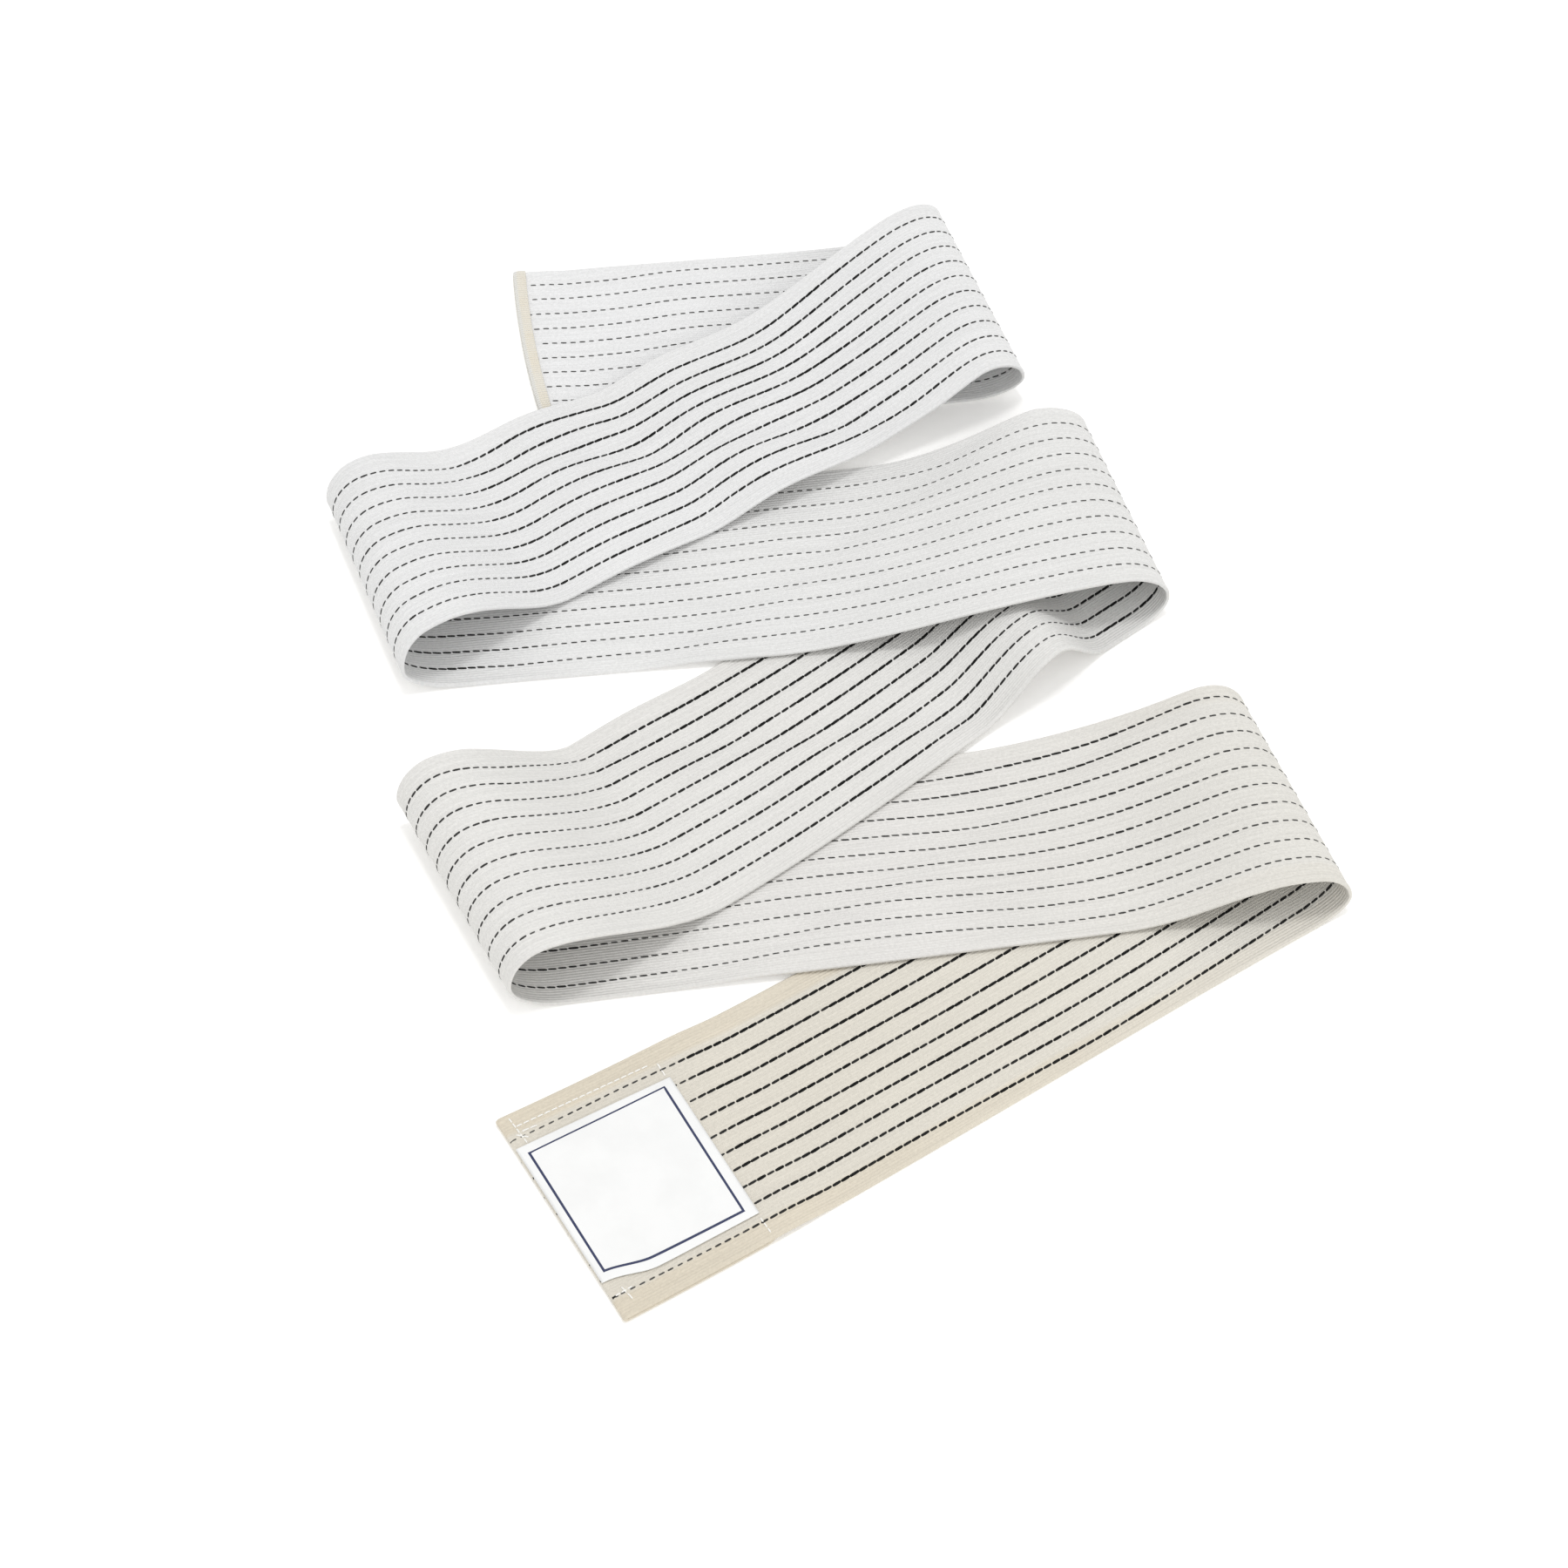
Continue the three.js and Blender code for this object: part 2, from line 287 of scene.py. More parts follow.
def mix(a: Array | float, b: Array | float, t: Array | float) -> Array | float:
    """Straight blend from a to b."""
    return a + (b - a) * t


def ease(t: Array | float) -> Array:
    """Eased step from 0 to 1."""
    c = np.clip(t, 0.0, 1.0)
    return c * c * (3.0 - 2.0 * c)


def unit(v: Array) -> Array:
    """Vectors made one long."""
    return v / np.maximum(np.linalg.norm(v, axis=-1, keepdims=True), 1e-12)


def run_length(points: Array) -> Array:
    """Length along lines of points, from 0 at the first row."""
    steps = np.linalg.norm(np.diff(points, axis=0), axis=-1)
    return np.concatenate([np.zeros((1,) + steps.shape[1:]), np.cumsum(steps, axis=0)])


def surface_normals(rows: Array) -> Array:
    """Unit normals of a grid of points, along the rows crossed with across them.

    Args:
        rows: points as (rows, places, xyz).

    Returns:
        A normal for each point.
    """
    last, wide = rows.shape[0] - 1, rows.shape[1] - 1
    i, j = np.arange(last + 1), np.arange(wide + 1)
    along = rows[np.minimum(i + 1, last)] - rows[np.maximum(i - 1, 0)]
    across = rows[:, np.minimum(j + 1, wide)] - rows[:, np.maximum(j - 1, 0)]
    return unit(np.cross(along, across))


@dataclass(frozen=True)
class BandLay:
    """The mid surface of the band as it lies, in millimetres in the part's frame."""

    wall: float = 1.5
    gap: float = 0.3
    hem_length: float = 70.0
    hem_ramp: float = 26.0
    binding_wall: float = 1.0
    binding_leg: float = 4.0
    tail_ramp: float = 18.0
    tail_bow: float = 2.3
    tail_bow_run: float = 60.0
    ramp_room: float = 2.0
    drape_rise: float = 2.2
    drape_margin: float = 4.0
    drape_ramp: float = 18.0
    drape_turn: float = 30.0
    sway_scale: float = 6.75
    loop_waist: float = 0.42
    centre: Pair = (12.771, 51.287)
    quarter_steps: int = 18
    arm_steps: int = 48
    flat_steps: int = 90
    heading_row: int = 20
    hem_steps: int = 30
    hem_spread: float = 1.6
    hem_corner: float = 8.0
    fold_steps: int = 12

    @property
    def floor(self) -> float:
        """Height of the mid surface where the band lies on the floor."""
        return self.wall / 2

    @property
    def hem_rise(self) -> float:
        """How far the hem lifts the band."""
        return self.wall + self.gap

    def loop_arm(self, index: int, side: int, arm: Arm, edge: Edge) -> Array:
        """One arm of a loop, from its outermost line inward.

        Args:
            index: the loop.
            side: 1 where the loop points to +X, -1 where it points to -X.
            arm: the upper or the lower arm.
            edge: the edge of the band.

        Returns:
            Points (x, z).
        """
        loop, x = LOOPS[index], TURNS[index + 1].x
        crest = loop.crest[edge]
        waist = mix(self.floor, crest, self.loop_waist)
        high = arm is Arm.HIGH
        depth = loop.back if high else loop.toe
        rise = crest - waist if high else self.floor - waist
        angle = np.linspace(0.0, math.pi / 2, self.quarter_steps + 1)
        quarter = np.stack([x - side * depth * (1 - np.cos(angle)), waist + rise * np.sin(angle)], 1)
        if not high:
            return quarter
        reach = loop.reach[edge]
        run = reach - depth
        t = np.linspace(0.0, 1.0, self.arm_steps + 1)[1:, None]
        start = np.array([x - side * depth, crest])
        hold = np.array([x - side * (depth + loop.hold[edge] * run), crest])
        land = np.array([x - side * (reach - loop.land[edge] * run), self.floor])
        stop = np.array([x - side * reach, self.floor])
        fall = (1 - t) ** 3 * start + 3 * (1 - t) ** 2 * t * hold + 3 * (1 - t) * t * t * land + t**3 * stop
        return np.concatenate([quarter, fall])

    def edge_line(self, index: int, edge: Edge) -> Array:
        """One edge of a pass, from turn to turn, before it drapes over anything.

        Args:
            index: the pass.
            edge: the edge of the band.

        Returns:
            Points (x, y, z) in the tables' coordinates.
        """
        lay, start, stop = PASSES[index], TURNS[index], TURNS[index + 1]
        heading = 1 if index % 2 == 0 else -1
        head = np.array([[start.x, self.floor]])
        if lay.leaves is not Arm.END:
            head = self.loop_arm(index - 1, -heading, lay.leaves, edge)
        foot = np.array([[stop.x, self.floor]])
        if lay.enters is not Arm.END:
            foot = self.loop_arm(index, heading, lay.enters, edge)[::-1]
        share = np.linspace(0.0, 1.0, self.flat_steps + 1)[1:-1, None]
        profile = np.concatenate([head, mix(head[-1], foot[0], share), foot])
        t = run_length(profile)
        t = t / t[-1]
        half = 0.5 if edge is Edge.FAR else -0.5
        span = mix(start.span, stop.span, t) + lay.waist * 4 * t * (1 - t)
        lean = mix(start.lean, stop.lean, t)
        drift = lay.sway * self.sway_scale * t * (1 - t) ** 2
        y = mix(start.y, stop.y, t) + drift + half * span
        return np.stack([profile[:, 0] + half * lean * span, y, profile[:, 1]], 1)

    @cached_property
    def edges(self) -> list[tuple[Array, Array]]:
        """Near and far edge lines of all passes."""
        return [(self.edge_line(k, Edge.NEAR), self.edge_line(k, Edge.FAR)) for k in range(len(PASSES))]

    def drape(self, index: int, x: Array, y: Array) -> Array:
        """How far a pass is lifted by the edges of the passes under it.

        Args:
            index: the pass.
            x: places of its points.
            y: places of its points.

        Returns:
            The lift of each point.
        """
        lift = np.zeros_like(x)
        for lower, edge in PASSES[index].over:
            line = self.edges[lower][edge]
            line = line[np.argsort(line[:, 0])]
            at = np.interp(x, line[:, 0], line[:, 1])
            inside = at - y if edge is Edge.FAR else y - at
            lift = np.maximum(lift, ease((inside + self.drape_margin + self.drape_ramp) / self.drape_ramp))
        for turn in (TURNS[index], TURNS[index + 1]):
            lift = np.minimum(lift, ease(np.abs(x - turn.x) / self.drape_turn))
        return self.drape_rise * lift

    def ripple(self, index: int, x: Array, w: Array) -> Array:
        """Height of a pass's ripples.

        Args:
            index: the pass.
            x: places of its points.
            w: their places across the band, from 0 to 1.

        Returns:
            The rise of each point.
        """
        rise = np.zeros_like(x)
        for row in (r for r in RIPPLES if r.at_pass == index):
            offset = x - mix(*row.x, w)
            t = np.where(offset < 0, -offset / row.run[0], offset / row.run[1])
            height = mix(*row.height, w)
            rise = rise + np.where(t < 1, height * (0.5 + 0.5 * np.cos(math.pi * np.minimum(t, 1))), 0.0)
        return rise

    def pass_rows(self, index: int, w: Array) -> Array:
        """Mid surface of one pass.

        Args:
            index: the pass.
            w: places across the band, from 0 at the near edge to 1 at the far edge.

        Returns:
            Points as (rows, places, xyz).
        """
        near, far = self.edges[index]
        p = near[:, None, :] + (far - near)[:, None, :] * w[None, :, None]
        p[..., 2] += self.drape(index, p[..., 0], p[..., 1]) + self.ripple(index, p[..., 0], w)
        if index == 0:
            away = np.linalg.norm(p[..., :2] - p[:1, :, :2], axis=-1)
            p[..., 2] += self.hem_rise * (1 - ease((away - self.hem_length - self.ramp_room) / self.hem_ramp))
        if index == len(PASSES) - 1:
            away = np.linalg.norm(p[..., :2] - p[-1:, :, :2], axis=-1)
            rise = self.binding_wall + self.gap
            p[..., 2] += rise * (1 - ease((away - self.binding_leg - self.ramp_room) / self.tail_ramp))
            p[..., 0] -= self.tail_bow * 4 * w * (1 - w) * (1 - ease(away / self.tail_bow_run))
        return p

    @cached_property
    def label_end(self) -> tuple[Array, Array, Array]:
        """Frame at the label end: the end line's middle, along the pass, and across it."""
        near, far = self.edges[0]
        middle, onward = ((near[row] + far[row]) / 2 for row in (0, self.heading_row))
        along = unit((onward - middle) * [1, 1, 0])
        across = np.array([-along[1], along[0], 0.0])
        return middle * [1, 1, 0] - self.shift, along, across

    @property
    def shift(self) -> Array:
        """From the tables' coordinates to the part's frame."""
        return np.array([*self.centre, 0.0])

    def on_label_end(self, a: Array, b: Array, z: Array) -> Array:
        """Points on or above the label end.

        Args:
            a: places along the pass, from the end line.
            b: places across it, from the middle.
            z: heights.

        Returns:
            Points (x, y, z) in the part's frame.
        """
        middle, along, across = self.label_end
        p = middle + np.asarray(a)[..., None] * along + np.asarray(b)[..., None] * across
        p[..., 2] = z
        return p

    def hem_rows(self, first: Array) -> Array:
        """The turned-under hem, straight under the first pass, from its free edge to the fold.

        Args:
            first: rows of the first pass.

        Returns:
            Rows of the hem, with rounded corners at its free edge.
        """
        inward = self.hem_length * (1 - np.linspace(0.0, 1.0, self.hem_steps + 1) ** self.hem_spread)
        angle = np.linspace(0.0, math.pi, self.fold_steps + 1)[1:-1]
        radius = self.hem_rise / 2
        out = np.concatenate([inward, -radius * np.sin(angle)])
        short = np.maximum(self.hem_corner - (self.hem_length - out), 0.0)
        inset = self.hem_corner - np.sqrt(np.maximum(self.hem_corner**2 - short**2, 0.0))
        near, far = self.edges[0]
        spine = self.along_rows((near + far)[:, None] / 2, out)
        narrow = 1 - 2 * inset / np.linalg.norm(far[0] - near[0])
        rows = mix(spine, self.along_rows(first, out), narrow[:, None, None])
        rise = np.concatenate([np.zeros_like(inward), radius * (1 - np.cos(angle))])
        rows[..., 2] = (self.floor + rise)[:, None]
        return rows

    def along_rows(self, rows: Array, away: Array) -> Array:
        """Points at given distances from the first row, seen in plan.

        Args:
            rows: points as (rows, places, xyz).
            away: distances along them; a negative one goes straight on before the first row.

        Returns:
            Points as (distances, places, xyz).
        """
        run = run_length(rows * [1, 1, 0])
        back = np.minimum(away, 0.0)[:, None, None] * self.label_end[1]
        columns = [
            [np.interp(away, run[:, j], rows[:, j, axis]) for axis in range(3)] for j in range(rows.shape[1])
        ]
        return np.moveaxis(np.array(columns), 2, 0) + back

    def rows(self, w: Array) -> Array:
        """Mid surface of the whole band, from the hem's free edge to the tail.

        Args:
            w: places across the band.

        Returns:
            Points as (rows, places, xyz), in the part's frame.
        """
        first = self.pass_rows(0, w)
        hem = self.hem_rows(first)
        later = [self.pass_rows(k, w)[1:] for k in range(1, len(PASSES))]
        return np.concatenate([hem, first, *later]) - self.shift

    @cached_property
    def row_pass(self) -> Array:
        """The pass that each row is on; the hem is -1."""
        counts = [self.hem_steps + self.fold_steps]
        counts += [len(near) - (k > 0) for k, (near, _) in enumerate(self.edges)]
        return np.repeat(np.arange(-1, len(PASSES)), counts)

    @cached_property
    def pass_starts(self) -> Array:
        """Length along the band's middle at the start of each pass, and at the tail."""
        length = run_length(self.rows(np.array([0.5]))[:, 0])
        starts = [length[np.argmax(self.row_pass == k)] for k in range(len(PASSES))]
        return np.array([*starts, length[-1]])


@dataclass
class Shape:
    """A mesh in the making: points in millimetres, faces, cloth coordinates and named values.

    A face whose last two corners are the same is a triangle.
    """

    points: Array
    quads: Array
    cloth: Array
    values: dict[str, Array] = field(default_factory=dict)

    @staticmethod
    def joined(parts: list["Shape"]) -> "Shape":
        """Several shapes as one.

        Args:
            parts: the shapes, which have the same named values.

        Returns:
            The joined shape.
        """
        starts = np.cumsum([0] + [len(p.points) for p in parts[:-1]])
        names = parts[0].values
        return Shape(
            np.concatenate([p.points for p in parts]),
            np.concatenate([p.quads + s for p, s in zip(parts, starts)]),
            np.concatenate([p.cloth for p in parts]),
            {n: np.concatenate([p.values[n] for p in parts]) for n in names},
        )

    def piece(self, name: str, material: bpy.types.Material) -> bpy.types.Object:
        """Makes the Blender object.

        Args:
            name: the piece's name.
            material: its finish.

        Returns:
            The object, linked to the scene and smooth shaded.
        """
        mesh = bpy.data.meshes.new(name)
        faces = [q[:3] if q[2] == q[3] else q for q in self.quads.tolist()]
        mesh.from_pydata((self.points * MM).tolist(), [], faces)
        corners = np.zeros(len(mesh.loops), np.int32)
        mesh.loops.foreach_get("vertex_index", corners)
        layer = mesh.uv_layers.new(name="Cloth")
        layer.uv.foreach_set("vector", self.cloth[corners].astype(np.float32).ravel())
        for value, numbers in self.values.items():
            attribute = mesh.attributes.new(value, "FLOAT", "POINT")
            attribute.data.foreach_set("value", numbers.astype(np.float32))
        mesh.polygons.foreach_set("use_smooth", np.ones(len(mesh.polygons), bool))
        mesh.materials.append(material)
        mesh.update()
        piece = bpy.data.objects.new(name, mesh)
        bpy.context.scene.collection.objects.link(piece)
        return piece


def grid_quads(rows: int, columns: int, ring: bool = False) -> Array:
    """Quads of a grid of points.

    Args:
        rows: rows of points.
        columns: points in a row.
        ring: whether each row is closed.

    Returns:
        Four point numbers for each quad.
    """
    i = np.arange(rows - 1)[:, None]
    j = np.arange(columns if ring else columns - 1)[None]
    k = (j + 1) % columns
    quads = np.stack([i * columns + j, (i + 1) * columns + j, (i + 1) * columns + k, i * columns + k], -1)
    return quads.reshape(-1, 4)


def sheet_shape(rows: Array, upper: Array, lower: Array, cloth: Array, values: dict[str, Array]) -> Shape:
    """A closed sheet of cloth round rows of mid surface points, rounded at its two long edges.

    Args:
        rows: mid surface as (rows, places, xyz).
        upper: half thickness on the side of the normals, 0 at the first and last place.
        lower: half thickness on the other side.
        cloth: coordinates (along, across) in metres for each point.
        values: named values, each for the upper and then the lower side.

    Returns:
        The closed shape.
    """
    count, wide = rows.shape[:2]
    normal = surface_normals(rows)
    top = rows + normal * upper[..., None]
    low = (rows - normal * lower[..., None])[:, wide - 2 : 0 : -1]
    points = np.concatenate([top, low], axis=1)
    around = points.shape[1]
    quads = grid_quads(count, around, ring=True)
    j = np.arange(1, wide - 2)
    strip = np.stack([j, j + 1, around - 1 - j, around - j], -1)
    tips = np.array([[0, 1, around - 1, around - 1], [wide - 2, wide - 1, wide, wide]])
    last = (count - 1) * around
    quads = np.concatenate([quads, strip, tips, (strip + last)[:, ::-1], (tips + last)[:, [1, 0, 2, 3]]])
    cloth = np.concatenate([cloth, cloth[:, wide - 2 : 0 : -1]], axis=1)
    named = {n: np.concatenate([v[0], v[1][:, wide - 2 : 0 : -1]], axis=1).ravel() for n, v in values.items()}
    return Shape(points.reshape(-1, 3), quads, cloth.reshape(-1, 2), named)


def thread_shape(path: Array, radius: float, start: float = 0.0, sides: int = 6) -> Shape:
    """A round thread along a path.

    Args:
        path: its points.
        radius: its radius.
        start: length along the thread at its first point, for the twist.
        sides: points round it.

    Returns:
        The tube, with its ends drawn together.
    """
    along = unit(np.gradient(path, axis=0))
    level = unit(np.cross(along, THREAD_UP))
    rise = np.cross(level, along)
    angle = np.linspace(0.0, 2 * math.pi, sides, endpoint=False)
    size = np.full(len(path), radius)
    size[[0, -1]] *= THREAD_TIP
    ring = np.cos(angle)[None, :, None] * level[:, None] + np.sin(angle)[None, :, None] * rise[:, None]
    points = path[:, None] + ring * size[:, None, None]
    length = np.repeat((start + run_length(path))[:, None], sides, 1)
    turn = np.repeat((angle / (2 * math.pi))[None], len(path), 0)
    cloth = np.stack([length * MM, turn * MM], -1).reshape(-1, 2)
    return Shape(points.reshape(-1, 3), grid_quads(len(path), sides, ring=True), cloth)


class NodeBoard:
    """A node tree that is filled node by node."""

    def __init__(self, tree: bpy.types.NodeTree) -> None:
        """Works on a tree."""
        self.tree = tree

    def node(self, kind: str, inputs: dict | None = None, **settings: object) -> bpy.types.Node:
        """Adds a node.

        Args:
            kind: its type, without the word ShaderNode.
            inputs: what feeds its sockets, by name or number.
            settings: its own properties.

        Returns:
            The node.
        """
        node = self.tree.nodes.new(kind if kind.startswith("Node") else "ShaderNode" + kind)
        for name, value in settings.items():
            setattr(node, name, value)
        for socket, value in (inputs or {}).items():
            self.feed(node.inputs[socket], value)
        return node

    def feed(self, socket: bpy.types.NodeSocket, value: object) -> None:
        """Links another socket to this one, or sets its plain value.

        Args:
            socket: the input.
            value: a socket to link or a value to set.
        """
        if isinstance(value, bpy.types.NodeSocket):
            self.tree.links.new(value, socket)
        else:
            socket.default_value = value

    def math(self, operation: str, result: object, *others: object) -> bpy.types.NodeSocket:
        """A sum, taken from left to right.

        Args:
            operation: what is done to each next term.
            result: the first term.
            others: the next terms, if the operation has any.

        Returns:
            The result.
        """
        for other in others or (0.0,):
            result = self.node("Math", {0: result, 1: other}, operation=operation).outputs[0]
        return result

    def ranged(self, value: object, low: float, high: float, to: Pair = (0.0, 1.0)) -> bpy.types.NodeSocket:
        """A value taken smoothly from one range to another."""
        inputs = {"Value": value, "From Min": low, "From Max": high, "To Min": to[0], "To Max": to[1]}
        return self.node("MapRange", inputs, interpolation_type="SMOOTHSTEP").outputs[0]

    def blend(self, share: object, a: object, b: object, how: str = "MIX") -> bpy.types.NodeSocket:
        """Two colours put together.

        Args:
            share: how much of the second.
            a: the first colour.
            b: the second colour.
            how: the kind of blend.

        Returns:
            The new colour.
        """
        node = self.node("Mix", data_type="RGBA", blend_type=how)
        for number, value in ((0, share), (6, a), (7, b)):
            self.feed(node.inputs[number], value)
        return node.outputs[2]

    def noise(self, at: object, scale: Triple, detail: float) -> bpy.types.NodeSocket:
        """Soft noise, stretched by a scale for each direction."""
        place = self.node("VectorMath", {0: at, 1: scale}, operation="MULTIPLY").outputs[0]
        return self.node("TexNoise", {"Vector": place, "Scale": 1.0, "Detail": detail}).outputs[0]


class Effects:
    """Surface effects that several finishes share, each a node group that is made once.

    GRAIN, STREAK and FIBRE are cells of noise in a metre along and across the cloth.
    """

    GRAIN: Triple = (760.0, 900.0, 1.0)
    STREAK: Triple = (22.0, 780.0, 1.0)
    FIBRE: Triple = (2600.0, 5200.0, 1.0)
    FUZZ: float = 1.8
    PLY_SHADE: float = 0.22

    @staticmethod
    def start(name: str, inputs: dict[str, object], outputs: list[str]) -> NodeBoard:
        """Starts a group.

        Args:
            name: its name.
            inputs: each input and its usual value; a triple is a vector.
            outputs: names of the values that come out.

        Returns:
            A board to fill it on.
        """
        tree = bpy.data.node_groups.new(name, "ShaderNodeTree")
        for socket, value in inputs.items():
            kind = "NodeSocketVector" if isinstance(value, tuple) else "NodeSocketFloat"
            tree.interface.new_socket(socket, in_out="INPUT", socket_type=kind).default_value = value
        for socket in outputs:
            tree.interface.new_socket(socket, in_out="OUTPUT", socket_type="NodeSocketFloat")
        return NodeBoard(tree)

    @classmethod
    @cache
    def weave(cls) -> bpy.types.NodeTree:
        """Elastic weave: lengthwise ribs crossed by fine picks, with grain and long streaks.

        Returns:
            The group; its grain and streaks run from 0 to 1.
        """
        sockets = {"Cloth": (0.0, 0.0, 0.0), "Rib Pitch": 0.00127, "Pick Pitch": 0.0009, "Ribbing": 0.5}
        board = cls.start("Elastic weave", sockets, ["Height", "Grain", "Streak"])
        given = board.node("NodeGroupInput").outputs
        place = board.node("SeparateXYZ", {0: given["Cloth"]}).outputs
        ribs = board.math("DIVIDE", place[1], given["Rib Pitch"])
        rib = board.math("SINE", board.math("MULTIPLY", ribs, 2 * math.pi))
        # Each rib shifts the picks by half a step.
        step = board.math("MULTIPLY", board.math("FLOOR", board.math("ADD", ribs, 0.25)), 0.5)
        picks = board.math("ADD", board.math("DIVIDE", place[0], given["Pick Pitch"]), step)
        pick = board.math("SINE", board.math("MULTIPLY", picks, 2 * math.pi))
        grain = board.noise(given["Cloth"], cls.GRAIN, 2.0)
        streak = board.noise(given["Cloth"], cls.STREAK, 1.0)
        plain = board.math("SUBTRACT", 1.0, given["Ribbing"])
        long = board.math("MULTIPLY", rib, given["Ribbing"])
        crossed = board.math("MULTIPLY", board.math("ADD", pick, rib), plain, 0.5)
        fuzz = board.math("MULTIPLY", board.math("SUBTRACT", grain, 0.5), cls.FUZZ)
        height = board.math("ADD", long, crossed, fuzz)
        board.node("NodeGroupOutput", {"Height": height, "Grain": grain, "Streak": streak})
        return board.tree

    @classmethod
    @cache
    def twist(cls) -> bpy.types.NodeTree:
        """Thread twist: slanted plies along a yarn, with loose fibres.

        Returns:
            The group.
        """
        sockets = {"Thread": (0.0, 0.0, 0.0), "Ply Pitch": 0.0008, "Slant": 1.0}
        board = cls.start("Thread twist", sockets, ["Height", "Shade"])
        given = board.node("NodeGroupInput").outputs
        place = board.node("SeparateXYZ", {0: given["Thread"]}).outputs
        slanted = board.math("ADD", place[0], board.math("MULTIPLY", place[1], given["Slant"]))
        plies = board.math("MULTIPLY", board.math("DIVIDE", slanted, given["Ply Pitch"]), 2 * math.pi)
        ply = board.math("SINE", plies)
        fibre = board.noise(given["Thread"], cls.FIBRE, 2.0)
        height = board.math("ADD", ply, fibre)
        shade = board.math("ADD", board.math("MULTIPLY", ply, cls.PLY_SHADE), fibre)
        board.node("NodeGroupOutput", {"Height": height, "Shade": shade})
        return board.tree

    @classmethod
    @cache
    def handling(cls) -> bpy.types.NodeTree:
        """Tone and shade clouds: broad, faint changes of tone, which on the label are painted shade and
        highlight.

        Returns:
            The group; its tone runs from 0 to 1.
        """
        board = cls.start("Handling", {"Place": (0.0, 0.0, 0.0), "Spread": 14.0}, ["Tone"])
        given = board.node("NodeGroupInput").outputs
        sized = board.node("VectorMath", {0: given["Place"], "Scale": given["Spread"]}, operation="SCALE")
        cloud = board.node("TexNoise", {"Vector": sized.outputs[0], "Scale": 1.0, "Detail": 3.0}).outputs[0]
        board.node("NodeGroupOutput", {"Tone": cloud})
        return board.tree


class Finish:
    """Base of the finishes: starts a material, puts effects into it and joins them to its shader.

    bump is the strength of the relief and its depth in metres.
    """

    bump: Pair

    def begin(self, name: str) -> tuple[NodeBoard, bpy.types.Material, bpy.types.NodeSocket]:
        """Starts a material.

        Args:
            name: its name.

        Returns:
            Its board, the material itself and the cloth's coordinates.
        """
        material = bpy.data.materials.new(name)
        material.use_nodes = True
        board = NodeBoard(material.node_tree)
        return board, material, board.node("UVMap", uv_map="Cloth").outputs[0]

    def effect(self, board: NodeBoard, tree: bpy.types.NodeTree, inputs: dict) -> bpy.types.NodeOutputs:
        """Places a shared effect in a material.

        Args:
            board: the material's board.
            tree: the effect's group.
            inputs: what feeds its sockets, by name.

        Returns:
            The effect's outputs.
        """
        node = board.node("Group", node_tree=tree)
        for socket, value in inputs.items():
            board.feed(node.inputs[socket], value)
        return node.outputs

    def close(self, material: bpy.types.Material, height: object, looks: dict) -> bpy.types.Material:
        """Joins a material's values to its shader.

        Args:
            material: the material.
            height: its relief.
            looks: what feeds the shader's sockets, by name.

        Returns:
            The material.
        """
        board, shader = NodeBoard(material.node_tree), material.node_tree.nodes["Principled BSDF"]
        strength, depth = self.bump
        bump = board.node("Bump", {"Strength": strength, "Distance": depth, "Height": height})
        for socket, value in {**looks, "Normal": bump.outputs[0]}.items():
            board.feed(shader.inputs[socket], value)
        return material


